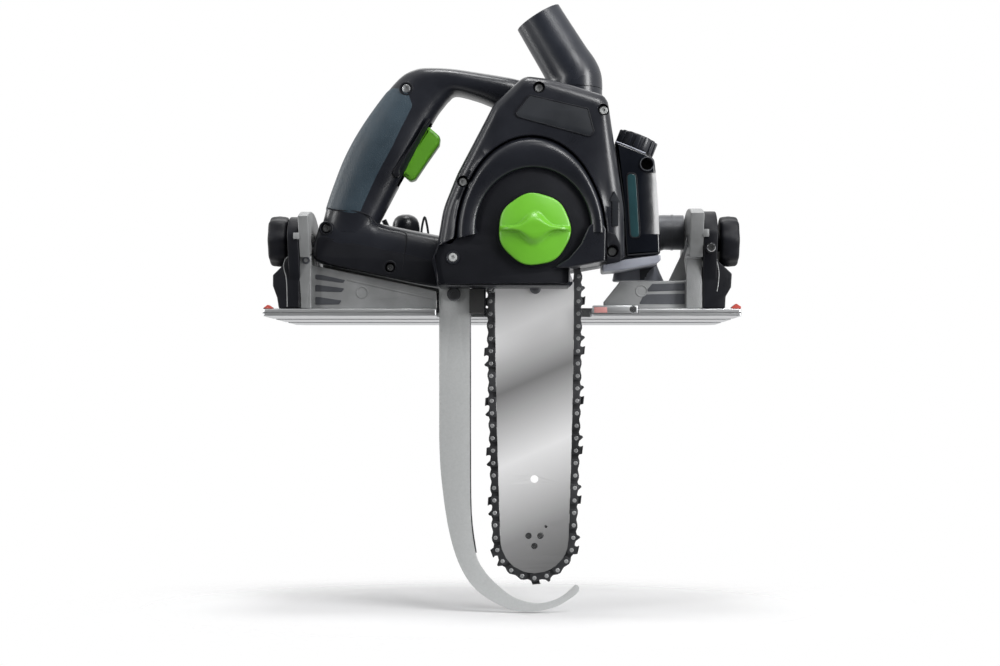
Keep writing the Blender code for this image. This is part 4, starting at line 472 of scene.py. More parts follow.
def placed(shape, turn, centre):
    """A shape turned about the origin and moved to its centre."""
    bmesh.ops.rotate(shape, verts=shape.verts, cent=(0, 0, 0), matrix=turn)
    bmesh.ops.translate(shape, verts=shape.verts, vec=centre)
    return shape


def rod(points, radius, sides=8):
    """A pipe of one radius."""
    return pipe(points, [radius] * len(points), sides)


def bore(x, z, mouth, floor, wide, narrow, steps=32):
    """The cutter for a screw's well, from its mouth to its floor."""
    return turned([(0, mouth), (wide, mouth), (narrow, floor), (0, floor)], (x, 0, z), steps=steps)


def together(*shapes):
    """One bmesh from several."""
    whole = bmesh.new()
    for shape in shapes:
        mesh = bpy.data.meshes.new("part")
        bmesh.ops.recalc_face_normals(shape, faces=shape.faces)
        shape.to_mesh(mesh)
        shape.free()
        whole.from_mesh(mesh)
        bpy.data.meshes.remove(mesh)
    return whole


# Pieces

def mesh_of(shape, name):
    """A mesh in metres from a shape in millimetres."""
    bmesh.ops.remove_doubles(shape, verts=shape.verts, dist=0.0005)
    bmesh.ops.recalc_face_normals(shape, faces=shape.faces)
    bmesh.ops.scale(shape, vec=(MM, MM, MM), verts=shape.verts)
    mesh = bpy.data.meshes.new(name)
    shape.to_mesh(mesh)
    shape.free()
    return mesh


def loose(name, shape):
    """A piece that has no finish and no body yet."""
    piece = bpy.data.objects.new(name, mesh_of(shape, name))
    bpy.context.scene.collection.objects.link(piece)
    return piece


def settle(piece):
    """Turns modifiers into plain mesh."""
    bpy.context.view_layer.update()
    mesh = bpy.data.meshes.new_from_object(
        piece.evaluated_get(bpy.context.evaluated_depsgraph_get()))
    piece.modifiers.clear()
    piece.data = mesh


def carve(piece, *shapes):
    """Cuts shapes out of a piece."""
    for shape in shapes:
        cutter = loose("cutter", shape)
        modifier = piece.modifiers.new("carve", "BOOLEAN")
        modifier.operation = "DIFFERENCE"
        modifier.object = cutter
        settle(piece)
        bpy.data.objects.remove(cutter, do_unlink=True)
        if not piece.data.polygons:
            raise RuntimeError(f"nothing left of {piece.name}")


def smooth(piece, sharp):
    """Smooth shading, apart from the edges that bend more than an angle."""
    piece.data.shade_smooth()
    piece.data.set_sharp_from_angle(angle=math.radians(sharp))


def fit(piece, body, surface, replaces=(), sharp=38):
    """Gives a piece its finish and its body, and the frame nodes that it stands for."""
    piece.data.materials.clear()
    piece.data.materials.append(surface)
    smooth(piece, sharp)
    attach(piece, body)
    if replaces:
        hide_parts(*replaces)


def add(name, shape, body, surface, replaces=(), sharp=38):
    """A finished piece from a shape."""
    fit(loose(name, shape), body, surface, replaces, sharp)


# Geometry Nodes for what repeats

def run_tree(name, tree, base, body, values, sharp=38):
    """Runs a tree on points, and turns what it makes into a plain piece."""
    piece = bpy.data.objects.new(name, base)
    bpy.context.scene.collection.objects.link(piece)
    modifier = piece.modifiers.new("repeat", "NODES")
    modifier.node_group = tree
    for item in tree.interface.items_tree:
        if item.item_type == "SOCKET" and item.in_out == "INPUT" and item.name in values:
            modifier[item.identifier] = values[item.name]
    settle(piece)
    smooth(piece, sharp)
    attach(piece, body)
    return piece


def points_mesh(places, turns=None, kinds=None):
    """Places for a tree, each with its turn and its kind where they are given."""
    mesh = bpy.data.meshes.new("places")
    mesh.from_pydata([[value * MM for value in place] for place in places], [], [])
    if turns:
        mesh.attributes.new("turn", "FLOAT", "POINT").data.foreach_set("value", turns)
    if kinds:
        mesh.attributes.new("kind", "INT", "POINT").data.foreach_set("value", kinds)
    return mesh


def share_of(tree, size, share):
    """A share of a size that a tree is given."""
    part = add_node(tree, "ShaderNodeMath", operation="MULTIPLY")
    plug(tree, part.inputs[0], size)
    plug(tree, part.inputs[1], share)
    return part.outputs["Value"]


def lifted(tree, geometry, height):
    """A geometry moved up by a height."""
    up = add_node(tree, "ShaderNodeCombineXYZ", Z=height)
    moved = add_node(tree, "GeometryNodeTransform", Geometry=geometry,
                     Translation=up.outputs["Vector"])
    return moved.outputs["Geometry"]


def point_value(tree, name, data_type):
    """A value that each point carries under a name."""
    node = add_node(tree, "GeometryNodeInputNamedAttribute", data_type=data_type, Name=name)
    return node.outputs["Attribute"]


def end_tree(tree, given, result, copies):
    """Turns a tree's copies into mesh and gives them their finish."""
    real = add_node(tree, "GeometryNodeRealizeInstances", Geometry=copies.outputs["Instances"])
    painted = add_node(tree, "GeometryNodeSetMaterial", Geometry=real.outputs["Geometry"],
                       Material=given["Finish"])
    plug(tree, result["Geometry"], painted.outputs["Geometry"])
    return tree


def screw_tree():
    """Socket-head screws on points: a rounded head with a six-sided socket."""
    tree, given, result = new_group(
        "screw_heads", "GeometryNodeTree",
        [("Places", "NodeSocketGeometry", None), ("Radius", "NodeSocketFloat", 0.003),
         ("Height", "NodeSocketFloat", 0.002), ("Facing", "NodeSocketVector", (0.0, 0.0, 0.0)),
         ("Finish", "NodeSocketMaterial", None)],
        [("Geometry", "NodeSocketGeometry")])
    radius = given["Radius"]
    height = given["Height"]
    low = share_of(tree, height, 0.5)
    head = add_node(tree, "GeometryNodeMeshCylinder", Vertices=28, Radius=radius, Depth=height)
    crown = add_node(tree, "GeometryNodeMeshCone", Vertices=28, Depth=low, Radius_Bottom=radius,
                     Radius_Top=share_of(tree, radius, 0.82))
    socket = add_node(tree, "GeometryNodeMeshCylinder", Vertices=6, Depth=height,
                      Radius=share_of(tree, radius, 0.48))
    whole = add_node(tree, "GeometryNodeMeshBoolean", operation="UNION")
    plug(tree, whole.inputs["Mesh 2"], head.outputs["Mesh"])
    plug(tree, whole.inputs["Mesh 2"], lifted(tree, crown.outputs["Mesh"], low))
    bored = add_node(tree, "GeometryNodeMeshBoolean", operation="DIFFERENCE")
    plug(tree, bored.inputs["Mesh 1"], whole.outputs["Mesh"])
    plug(tree, bored.inputs["Mesh 2"], lifted(tree, socket.outputs["Mesh"], height))
    copies = add_node(tree, "GeometryNodeInstanceOnPoints", Points=given["Places"],
                      Instance=bored.outputs["Mesh"], Rotation=given["Facing"])
    return end_tree(tree, given, result, copies)


def links_tree():
    """Copies of one link on the points of its kind, each turned about the bar's cross axis."""
    tree, given, result = new_group(
        "chain_links", "GeometryNodeTree",
        [("Places", "NodeSocketGeometry", None), ("Link", "NodeSocketObject", None),
         ("Kind", "NodeSocketInt", 0), ("Finish", "NodeSocketMaterial", None)],
        [("Geometry", "NodeSocketGeometry")])
    wanted = add_node(tree, "FunctionNodeCompare", data_type="INT", operation="EQUAL")
    plug(tree, wanted.inputs[2], point_value(tree, "kind", "INT"))
    plug(tree, wanted.inputs[3], given["Kind"])
    facing = add_node(tree, "ShaderNodeCombineXYZ", Y=point_value(tree, "turn", "FLOAT"))
    link = add_node(tree, "GeometryNodeObjectInfo", Object=given["Link"])
    copies = add_node(tree, "GeometryNodeInstanceOnPoints", Points=given["Places"],
                      Selection=wanted.outputs["Result"], Instance=link.outputs["Geometry"],
                      Rotation=facing.outputs["Vector"])
    return end_tree(tree, given, result, copies)


def ribs_tree():
    """Bars of one size on points, each turned about one axis by its own angle."""
    tree, given, result = new_group(
        "ribs", "GeometryNodeTree",
        [("Places", "NodeSocketGeometry", None), ("Size", "NodeSocketVector", (0.001,) * 3),
         ("Turn Axis", "NodeSocketVector", (0.0, 1.0, 0.0)),
         ("Finish", "NodeSocketMaterial", None)],
        [("Geometry", "NodeSocketGeometry")])
    bar = add_node(tree, "GeometryNodeMeshCube", Size=given["Size"])
    facing = add_node(tree, "ShaderNodeVectorMath", operation="SCALE",
                      Scale=point_value(tree, "turn", "FLOAT"))
    plug(tree, facing.inputs[0], given["Turn Axis"])
    copies = add_node(tree, "GeometryNodeInstanceOnPoints", Points=given["Places"],
                      Instance=bar.outputs["Mesh"], Rotation=facing.outputs["Vector"])
    return end_tree(tree, given, result, copies)


SCREWS = screw_tree()
LINKS = links_tree()
RIBS = ribs_tree()
FACING = {"near": (math.pi / 2, 0.0, 0.0), "far": (-math.pi / 2, 0.0, 0.0)}


def screws(name, places, body, radius=3.0, height=2.0, facing="near", surface=SCREW_STEEL):
    """Screws at places, facing the near or the far side."""
    run_tree(name, SCREWS, points_mesh(places), body,
             {"Radius": radius * MM, "Height": height * MM, "Facing": FACING[facing],
              "Finish": surface})


def ribs(name, places, size, body, surface, turns):
    """Bars on points, each turned about the cross axis by its own angle."""
    run_tree(name, RIBS, points_mesh(places, turns), body,
             {"Size": tuple(value * MM for value in size), "Turn Axis": (0.0, 1.0, 0.0),
              "Finish": surface})


# Head: near shell and sprocket cover

BODY_OUTLINE = rounded([
    (-48.3, 21.4), (-52.0, 42.3), (-48.3, 51.6), (-43.9, 79.4, 60), (-33.3, 105.7, 60),
    (-11.1, 148.0, 30), (-6.2, 157.6, 20), (16.9, 179.0, 10), (33.9, 176.9, 20), (53.2, 171.8, 20),
    (76.2, 164.6, 8), (79.5, 159.4, 8), (91.3, 79.7, 40), (92.1, 43.1, 3), (76.2, 40.2, 3),
    (51.3, 35.7, 2), (50.7, 21.4, 1)])
BODY_CENTRE = (25.0, 78.0)


def polar_loop(radii, y):
    """A loop round the body's centre from its radii, at one depth."""
    count = len(radii)
    loop = []
    for index, radius in enumerate(radii):
        angle = 2 * math.pi * index / count
        loop.append((BODY_CENTRE[0] + radius * math.cos(angle), y,
                     BODY_CENTRE[1] + radius * math.sin(angle)))
    return loop


ARCH_CENTRE = (21.8, 63.5)
FLARE = 2.6
FLARE_FOOT = 60.0
FLARE_RISE = 42.0


def skirted(radius, tall, share):
    """A point of the arch, whose sides flare a little towards their feet."""
    angle = math.radians(180 * (1 - share))
    z = ARCH_CENTRE[1] + tall * math.sin(angle)
    flare = FLARE * max(0.0, 1 - (z - FLARE_FOOT) / FLARE_RISE)
    return ARCH_CENTRE[0] + (radius + flare) * math.cos(angle), z


OPENING = ([(-48.6, 21.4), (-50.4, 46.0), (-48.0, 51.6), (-42.9, 54.0), (-37.8, 53.8),
            (-35.2, 58.2)]
           + [skirted(53.9, 70.0, step / 40) for step in range(41)]
           + [(78.6, 58.0), (78.0, 39.6), (50.4, 34.0), (50.4, 21.4)])

SHELL_BACK = -74.4
SHELL_INSIDE = -76.0
SHELL_SHOULDER = -107.0
SHELL_FACE = -117.6
SHELL_ROUND = 9.0
FRONT_ROUND = 4.0
THINNEST_RIM = 2.4
FRONT_LOBE = (82.4, 47.4)
REAR_LOBE = (-36.4, 42.8)
SHELL_SCREWS = [(27.8, 169.4), (75.9, 152.8), FRONT_LOBE, (-28.9, 99.4)]
WELL_FLOOR = -109.3


def shell_loops():
    """From the shell's back round its edge to the face, and down the mouth to its inside.

    Where the rim is thin, the edge and the face take only a share of it.
    """
    count = 320
    angles = [2 * math.pi * index / count for index in range(count)]
    rim = [reach(BODY_OUTLINE, BODY_CENTRE, angle) for angle in angles]
    mouth = [min(reach(OPENING, BODY_CENTRE, angle), edge - THINNEST_RIM)
             for angle, edge in zip(angles, rim)]
    wide = [(edge - inner) * 0.9 for edge, inner in zip(rim, mouth)]
    loops = [polar_loop(rim, SHELL_BACK), polar_loop(rim, SHELL_SHOULDER)]
    for step in range(1, 7):
        bend = math.radians(15 * step)
        radii = [edge - min((SHELL_ROUND + FRONT_ROUND * max(math.cos(angle), 0.0))
                            * (1 - math.cos(bend)), most)
                 for angle, edge, most in zip(angles, rim, wide)]
        loops.append(polar_loop(radii, SHELL_SHOULDER - SHELL_ROUND * math.sin(bend)))
    middle = [(edge - min(SHELL_ROUND + FRONT_ROUND, most) + inner) / 2
              for edge, inner, most in zip(rim, mouth, wide)]
    lip = [inner + min(0.7, (edge - inner) * 0.04) for edge, inner in zip(rim, mouth)]
    for radii, y in ((middle, SHELL_FACE + 0.3), (lip, SHELL_FACE), (mouth, SHELL_FACE + 0.7),
                     (mouth, SHELL_INSIDE)):
        loops.append(polar_loop(radii, y))
    return loops


def near_shell():
    """The near half of the body, with the wells of its screws."""
    shell = loose("near_shell", skin(shell_loops(), closed=True))
    carve(shell, *(bore(x, z, -125, WELL_FLOOR, 4.7, 4.3)
                   for x, z in SHELL_SCREWS + [REAR_LOBE]))
    fit(shell, "head", SATIN_BLACK, ["body_shell"])


def bare_label():
    """The plate without words on the shell's face, and the groove round it."""
    label = rounded([(21.0, 163.0, 1.5), (64.2, 152.9, 2.5), (68.6, 136.0, 2), (65.8, 132.2, 2.5),
                     (12.6, 146.7, 2), (10.4, 149.6, 2)])
    add("bare_label_plate", panel([label], -117.85, -115.5, 0.15), "head", LABEL_BLACK, sharp=20)
    edge = [(x, -117.8, z) for x, z in label + label[:1]]
    add("label_groove", rod(edge, 0.42), "head", FLAT_BLACK)


def shell_marks():
    """The screws of the shell, the raised arrow and the lobe round the front screw."""
    screws("shell_screws", [(x, WELL_FLOOR - 0.1, z) for x, z in SHELL_SCREWS], "head", 3.2, 1.8,
           surface=KNIFE_STEEL)
    arrow = [(83.9, 92.0), (80.4, 84.2), (82.2, 84.2), (82.2, 66.0), (86.8, 66.0), (86.8, 84.2),
             (88.2, 84.2)]
    add("feed_arrow", panel([arrow], -116.5, -113.0, 0.3), "head", LABEL_BLACK, sharp=20)
    lobe = rounded([(77.4, 37.2, 1), (89.0, 39.6, 3), (88.6, 52.0, 6), (84.6, 60.0, 5),
                    (77.4, 62.4, 2)])
    ring = circle(FRONT_LOBE, 4.6, 24)
    add("front_lobe", panel([lobe, ring], -117.4, -114.6, 0.7), "head", FLAT_BLACK)


DISH_CENTRE = (23.5, 63.5)


def arch_ring():
    """The raised ring of the cover, from its rear foot over the top to its front one."""
    profile = [(0.0, -98), (0.0, -111.6), (0.03, -114.2), (0.10, -117.0), (0.20, -118.9),
               (0.33, -119.8), (0.50, -119.9), (0.70, -119.3), (0.88, -118.4), (0.96, -117.8),
               (0.995, -116.9), (1.0, -115.6), (1.0, -113.0), (0.5, -98)]
    loops = []
    for step in range(65):
        share = step / 64
        outer = skirted(53.2, 69.3, -0.032 + 1.045 * share)
        angle = math.radians(184.0 - 186.5 * share)
        inner = (DISH_CENTRE[0] + 42.9 * math.cos(angle),
                 DISH_CENTRE[1] + 46.0 * math.sin(angle))
        loop = []
        for at, y in profile:
            x, z = mixed(outer, inner, at)
            loop.append((x, y, z))
        loops.append(loop)
    return skin(loops)


def sprocket_cover():
    """The cover: its plate with the rear lobe, the arch's ring and the facet at its front foot."""
    arch = [skirted(50.0, 66.0, (step + 0.6) / 25.2) for step in range(25)]
    floor = rounded([(-47.9, 21.5, 1), (-49.6, 45.6, 4), (-47.4, 51.0, 4), (-42.9, 53.3, 3),
                     (-37.6, 53.0, 2), (-33.6, 57.6, 2), (-30.8, 60.2, 2)]) + arch
    floor += rounded([(78.4, 60.0), (77.0, 40.2, 1), (49.8, 34.6, 1), (49.8, 21.5, 1)])
    facet = rounded([(68.6, 69.4, 4), (75.4, 67.4, 3), (77.6, 63.6, 2), (77.0, 40.0, 1),
                     (50.2, 34.8, 1), (38.0, 34.6, 2), (50.0, 42.2), (58.7, 52.6), (64.2, 65.0, 4)])
    cover = loose("sprocket_cover_dress", together(panel([floor], -114.0, -94.0, 0.9), arch_ring(),
                                                   panel([facet], -118.6, -105.0, 1.4, steps=3)))
    fit(cover, "head", SATIN_BLACK, ["sprocket_cover"])


def cover_dish():
    """The dull floor of the cover inside its ring, and the screw in the rear lobe."""
    dish = rounded([(-17.0, 61.2)] + circle(DISH_CENTRE, 42.4, 30, 178, 2, tall=45.4)
                   + [(66.0, 63.0), (58.0, 52.0), (49.5, 42.0), (37.5, 34.2), (49.2, 33.8, 1),
                      (49.2, 22.2, 1), (-47.2, 22.2, 1), (-48.8, 45.4, 4), (-46.8, 50.4, 4),
                      (-42.6, 52.5, 2), (-37.2, 52.2, 2), (-33.0, 56.8, 2), (-25.0, 59.5, 2)])
    add("cover_floor", panel([dish], -114.35, -113.0, 0.2), "head", FLAT_BLACK)
    x, z = REAR_LOBE
    screws("lobe_screw", [(x, -113.6, z)], "head", 3.3, 1.8, surface=KNIFE_STEEL)
    add("screw_washer", turned([(3.4, -114.2), (4.4, -115.0), (5.0, -115.0), (5.4, -114.2)],
                               (x, 0, z), steps=40), "head", SATIN_BLACK)


KNOB_CENTRE = (24.5, 63.5)
KNOB_RADIUS = 26.6
KNOB_RIM = 24.0
KNOB_FRONT = -131.0


def cover_knob():
    """The round nut: a domed disc with a ridge across it that swells to an eye-shaped hub."""
    steps = 180
    angles = [2 * math.pi * step / steps for step in range(steps)]
    middle_x, middle_z = KNOB_CENTRE
    loops = []
    for radius, y in ((26.2, -114.6), (KNOB_RADIUS, -115.6), (KNOB_RADIUS, -118.6)):
        loops.append([(middle_x + knob_radius(radius, angle) * math.cos(angle), y,
                       middle_z + knob_radius(radius, angle) * math.sin(angle))
                      for angle in angles])
    for index in range(45):
        radius = 26.4 * (1 - index / 45) ** 0.8
        loop = []
        for angle in angles:
            size = knob_radius(radius, angle)
            x, z = size * math.cos(angle), size * math.sin(angle)
            loop.append((middle_x + x, knob_face(x, z, radius), middle_z + z))
        loops.append(loop)
    add("cover_knob_dress", skin(loops), "cover_knob", LEAF_GREEN, ["cover_knob"], sharp=60)
    add("knob_washer", turned([(5, -114.0), (28.2, -114.0), (28.6, -114.4), (28.2, -115.0),
                               (5, -115.0)], (middle_x, 0, middle_z), steps=96), "head",
        FLAT_BLACK)


def knob_radius(radius, angle):
    """The rim's seven shallow waves, which fade towards the middle."""
    return radius + 0.40 * math.cos(7 * angle + 0.5) * (radius / KNOB_RADIUS) ** 6


def knob_face(x, z, radius):
    """How far the knob's face stands out: rounded rim, low dome, and the ridge on it."""
    if radius > KNOB_RIM:
        rim = -119.4 - 1.4 * (1 - (radius - KNOB_RIM) / (KNOB_RADIUS - KNOB_RIM)) ** 0.5
    else:
        rim = -120.8
    dome = 3.4 * max(0.0, 1 - (radius / KNOB_RIM) ** 2)
    half = 1.5 + 8.8 * math.exp(-(abs(x) / 9.2) ** 2.4)
    ridge = math.exp(-(abs(z) / half) ** 5)
    crown = (3.9 + 0.7 * min(radius / 20.0, 1.0)) * ridge * (1 - (radius / KNOB_RADIUS) ** 8)
    return max(rim - dome - crown, KNOB_FRONT)


# Head: rear handle

GRIP_STATIONS = [
    (16.0, 180.4, 6.0, 156.0, 15.0), (4.0, 183.0, -6.0, 160.4, 16.4),
    (-20.5, 186.9, -19.0, 165.6, 17.2),
    (-40.0, 189.5, -35.0, 169.6, 17.5), (-58.0, 190.2, -40.8, 166.0, 17.5),
    (-67.3, 188.8, -45.2, 160.8, 17.5), (-76.7, 183.9, -49.8, 154.6, 17.6),
    (-87.5, 172.4, -55.4, 145.0, 17.8), (-101.6, 153.6, -64.5, 128.0, 18.0),
    (-112.6, 136.4, -72.8, 111.6, 18.0), (-121.2, 119.6, -79.6, 99.4, 18.0),
    (-128.0, 102.2, -85.8, 87.6, 18.0), (-133.3, 87.0, -91.0, 77.8, 18.0),
    (-136.6, 75.0, -94.6, 70.6, 18.0), (-138.6, 66.0, -96.0, 62.0, 18.0)]
HANDLE_Y = -75.0
GRIP_POWER = 2.7


def grip_line(steps=6):
    """The grip's stations, closer together and with their depth."""
    return [(*station, HANDLE_Y) for station in through(GRIP_STATIONS, steps)]


def handle_grip():
    """The curved grip, with the slot that its trigger swings in."""
    grip = loose("handle_grip", sleeve(grip_line(), 56, GRIP_POWER))
    slot = [(-61.0, 152.0), (-44.0, 142.0), (-44.0, 128.0), (-66.0, 97.0), (-76.0, 97.0),
            (-91.0, 108.4)]
    carve(grip, panel([slot], -82.8, -67.2, 0.3))
    fit(grip, "head", SATIN_BLACK, ["handle_shell_near"])


FOOT_STATIONS = [
    (-143.9, 47.5, -143.0, 57.0, 13.0), (-143.6, 43.8, -140.6, 64.0, 16.0),
    (-138.0, 40.4, -137.6, 72.0, 17.6), (-129.6, 38.4, -128.0, 76.0, 18.0),
    (-112.0, 34.8, -110.0, 75.4, 18.0), (-101.0, 32.5, -100.0, 74.2, 18.0),
    (-95.5, 31.3, -94.5, 71.6, 18.0), (-84.0, 28.9, -83.5, 69.2, 18.0),
    (-66.0, 25.1, -66.0, 65.6, 18.0), (-47.0, 21.6, -45.0, 61.6, 18.0)]
FOOT_SCREWS = [(-84.8, 36.9), (-133.3, 66.5)]
GRIP_SCREW = (-72.5, 172.2)


def foot_bore(x, z):
    """The cutter for a well in the handle's foot."""
    return bore(x, z, -100, -89.0, 4.4, 4.1)


def handle_foot():
    """The foot that joins the grip to the body, its screws in their wells, sole and seam."""
    stations = [(*station, HANDLE_Y) for station in through(FOOT_STATIONS, 5)]
    base = loose("handle_foot", sleeve(stations, 48, 3.2))
    carve(base, *(foot_bore(x, z) for x, z in FOOT_SCREWS))
    fit(base, "head", SATIN_BLACK, ["handle_shell_far"])
    screws("foot_screws", [(x, -89.2, z) for x, z in FOOT_SCREWS], "head", 3.0, 1.6)
    add("foot_wells", together(*(well(x, z, -93.0) for x, z in FOOT_SCREWS)), "head", FLAT_BLACK)
    x, z = GRIP_SCREW
    screws("grip_screw", [(x, -92.4, z)], "head", 3.1, 1.6)
    add("grip_screw_well", well(x, z, -92.6), "head", FLAT_BLACK)
    sole_edge = rounded([(-141.5, 43.8, 4), (-140.0, 60.0, 6), (-134.7, 61.0, 2),
                         (-75.0, 48.5, 2), (-52.6, 42.7, 2), (-48.6, 22.4, 1), (-84.0, 29.6),
                         (-129.6, 39.2, 3)])
    sole = loose("foot_sole", panel([sole_edge], -93.0, -58.0, 1.2))
    carve(sole, foot_bore(*FOOT_SCREWS[0]))
    fit(sole, "head", FLAT_BLACK)
    seam = through([(-133.0, -90.6, 82.2), (-127.1, -92.2, 80.5), (-120.0, -92.8, 79.8),
                    (-109.0, -92.9, 79.1), (-99.5, -92.2, 75.3), (-93.9, -91.2, 68.6),
                    (-84.0, -91.6, 65.6), (-76.1, -91.9, 64.0), (-72.2, -92.4, 61.0),
                    (-73.4, -93.0, 50.8), (-75.5, -92.6, 33.6)], 5)
    add("foot_seams", rod(seam, 0.45), "head", FLAT_BLACK)


INLET_Y = -41.0


def foot_rear():
    """What shows behind the foot: the frame's grey wall and the mains inlet with its bow."""
    wall = rounded([(-141.5, 24.0, 1), (-141.5, 50.0, 2), (-50.0, 50.0, 1), (-50.0, 14.6, 1)])
    add("frame_wall", panel([wall], -46.0, -40.0, 0.8), "head", CAST_ALLOY)
    inlet = [(0, 82.2), (3.4, 81.9), (6.4, 80.8), (8.8, 78.6), (10.3, 75.4), (10.9, 71.4),
             (11.0, 65.6), (0, 65.6)]
    add("inlet_dome", turned(inlet, (-76.5, INLET_Y, 0), "Z", steps=48), "head", SATIN_BLACK,
        ["mains_inlet"])
    bow = through([(x, INLET_Y, z) for x, z in ((-64.6, 66.0), (-63.6, 74.0), (-61.8, 80.2),
                                                (-60.0, 74.0), (-58.8, 66.0))], 4)
    peg = pipe([(-88.0, -44.0, 65.6), (-93.6, -44.0, 77.4)], [2.2, 2.0], 16)
    add("inlet_bow", together(rod(bow, 0.9, 12), peg), "head", DARK_CAST)


def well(x, z, y):
    """The raised round lip of a deep screw well."""
    return turned([(3.9, y + 3.0), (3.9, y), (4.2, y - 0.35), (4.9, y - 0.35), (5.3, y),
                   (5.5, y + 3.0)], (x, 0, z), steps=40)


def grip_pads():
    """The textured pads, on both sides of the grip and round its back."""
    line = grip_line()
    loops = []
    rows = 44
    for row in range(rows):
        share = row / (rows - 1)
        low_end = 0.16 * max(1 - share / 0.10, 0) ** 2
        high_end = 0.10 * max(1 - (1 - share) / 0.05, 0) ** 2
        wide = (92 + 8 * min(share / 0.35, 1.0)) * (1 - low_end - high_end)
        loop = []
        for lift, order in ((0.45, 1), (-0.7, -1)):
            for step in range(41):
                turn = wide * (step / 20 - 1) * order
                start = 42.4 - 4.2 * abs(turn) / 92
                at = start + (74.6 - start) * share
                outer_x, outer_z, inner_x, inner_z, half, middle = mixed(
                    line[int(at)], line[min(int(at) + 1, len(line) - 1)], at % 1)
                centre = Vector(((outer_x + inner_x) / 2, 0, (outer_z + inner_z) / 2))
                along = Vector((outer_x - inner_x, 0, outer_z - inner_z)) / 2
                edge = abs(step - 20) > 18 or row in (0, rows - 1)
                rise = 0.05 if edge and lift > 0 else lift
                grown = along * ((along.length + rise) / along.length)
                loop.append(around(centre, grown, half + rise, middle, math.radians(turn),
                                   GRIP_POWER))
        loops.append(loop)
    add("grip_pads", skin(loops), "head", SLATE_GRIP, ["grip_pad_near", "grip_pad_far"], sharp=50)


def trigger_set():
    """The trigger, the cuffs beside it and the lock-off button."""
    face = rounded([(-56.6, 145.6, 1), (-47.4, 137.6, 4), (-48.2, 131.5, 3), (-57.6, 118.2, 20),
                    (-66.6, 104.8, 3), (-70.6, 103.5, 3), (-77.0, 109.4, 1), (-68.0, 128.0)])
    lever = panel([face], -82.0, -68.0, 2.6, steps=4)
    add("trigger_dress", lever, "trigger", LEAF_GREEN, ["trigger"], sharp=50)
    lip = rounded([(-54.6, 150.0, 1), (-56.6, 148.8, 2), (-82.1, 111.4, 2), (-83.2, 107.9, 2),
                   (-79.4, 104.8, 1.5), (-77.4, 107.4, 1), (-77.6, 110.8, 1), (-57.0, 147.0, 1)])
    add("trigger_collar", together(panel([lip], -91.8, -82.3, 1.0, steps=3),
                                   panel([lip], -67.7, -58.2, 1.0, steps=3)), "head", FLAT_BLACK)
    add("lock_button_dress", turned([(0, -57.6), (4.9, -57.6), (4.9, -53.9), (4.3, -53.1),
                                     (0, -53.1)], (-53.31, 0, 174.34), steps=40),
        "lock_button", LEAF_GREEN, ["lock_off_button"])


# Head: dust port, tank, motor, gear housing

PORT_X = 56.0
PORT_Y = -55.5


def dust_port():
    """The elbow, as (place along X, height, radius) down its line, and the skirt under it."""
    line = [(PORT_X, 178.0, 21.4), (PORT_X, 181.5, 21.4), (55.6, 186.0, 21.2),
            (53.4, 191.6, 20.6), (48.6, 199.4, 19.9), (42.6, 209.2, 19.5), (35.0, 221.6, 19.1),
            (27.6, 233.8, 18.7)]
    route = through(line, 5)
    elbow = pipe([(x, PORT_Y, z) for x, z, _ in route], [radius for _, _, radius in route], 64,
                 wall=2.2)
    add("dust_elbow", elbow, "dust_port", PORT_GREY, ["dust_port"], sharp=50)
    skirt = [(19.4, 166.0), (21.0, 166.0), (21.3, 168.0), (21.3, 177.4), (19.4, 177.4)]
    add("port_skirt", turned(skirt, (PORT_X, PORT_Y, 0), "Z", steps=64), "head", PORT_GREY)


def oil_tank():
    """The tank with its bevelled front edge, and the bored boss in its face."""
    outline = rounded([(85.0, 131.9, 1), (108.4, 122.4, 5), (114.8, 118.4, 6), (116.8, 100.0, 30),
                       (118.3, 77.8, 40), (119.3, 48.0, 3), (118.6, 46.6, 2), (93.6, 44.9, 1),
                       (92.5, 60.0), (91.6, 79.7)])
    tank = loose("oil_tank_dress", panel([outline], -99.8, -68.4, 2.2, steps=4))
    boss = (109.1, 114.2)
    bevel = [(106.4, -99.9), (120.0, -93.6), (122.0, -106.0), (106.4, -106.0)]
    carve(tank, bore(*boss, -110, -86, 4.6, 4.6, steps=40),
          panel([bevel], 61.5, 108.0, 0.0, "Z"))
    fit(tank, "head", TANK_BLACK, ["oil_tank"], sharp=30)
    add("tank_boss", turned([(4.6, -88), (4.6, -101.0), (4.8, -101.3), (5.2, -101.3), (5.4, -101.0),
                             (5.4, -88)], (boss[0], 0, boss[1]), steps=48), "head", DARK_CAST)


def sight_window():
    """The clear strip in the tank's face, and the dull rim round it."""
    slot = rounded([(94.2, 106.6, 3.2), (100.6, 106.6, 3.2), (103.4, 59.2, 3.2),
                    (96.9, 59.2, 3.2)])
    rim = rounded([(93.0, 107.8, 4), (101.6, 107.8, 4), (104.6, 58.0, 4), (95.8, 58.0, 4)])
    add("window_rim", panel([rim, slot], -100.2, -99.0, 0.3), "head", FLAT_BLACK)
    add("window_dress", panel([slot], -100.1, -99.2, 0.25), "head", WINDOW, ["sight_window"])


def tank_flange():
    """The grey flange under the tank, and a light grey rod along its top edge that is a painted highlight."""
    flange = rounded([(75.6, 38.6, 1), (75.6, 33.4, 2), (92.0, 34.8, 1), (116.6, 39.4, 2),
                      (119.6, 42.0, 2), (119.4, 46.0, 1), (94.0, 42.6, 1)])
    add("tank_flange", panel([flange], -99.5, -60.0, 1.2), "head", FLANGE_GREY)
    # Painted highlight: a light grey rod on the line where the tank's top edge catches the light.
    strap = [(x, -99.6, z) for x, z in ((85.8, 131.0), (92.4, 128.6), (108.0, 122.2))]
    add("tank_top_edge", rod(strap, 0.7, 10), "head", FLANGE_GREY)


def frame_joint(name):
    """A joint of the frame, by name."""
    for joint in frame["joints"]:
        if joint["name"] == name:
            return joint
    raise KeyError(name)


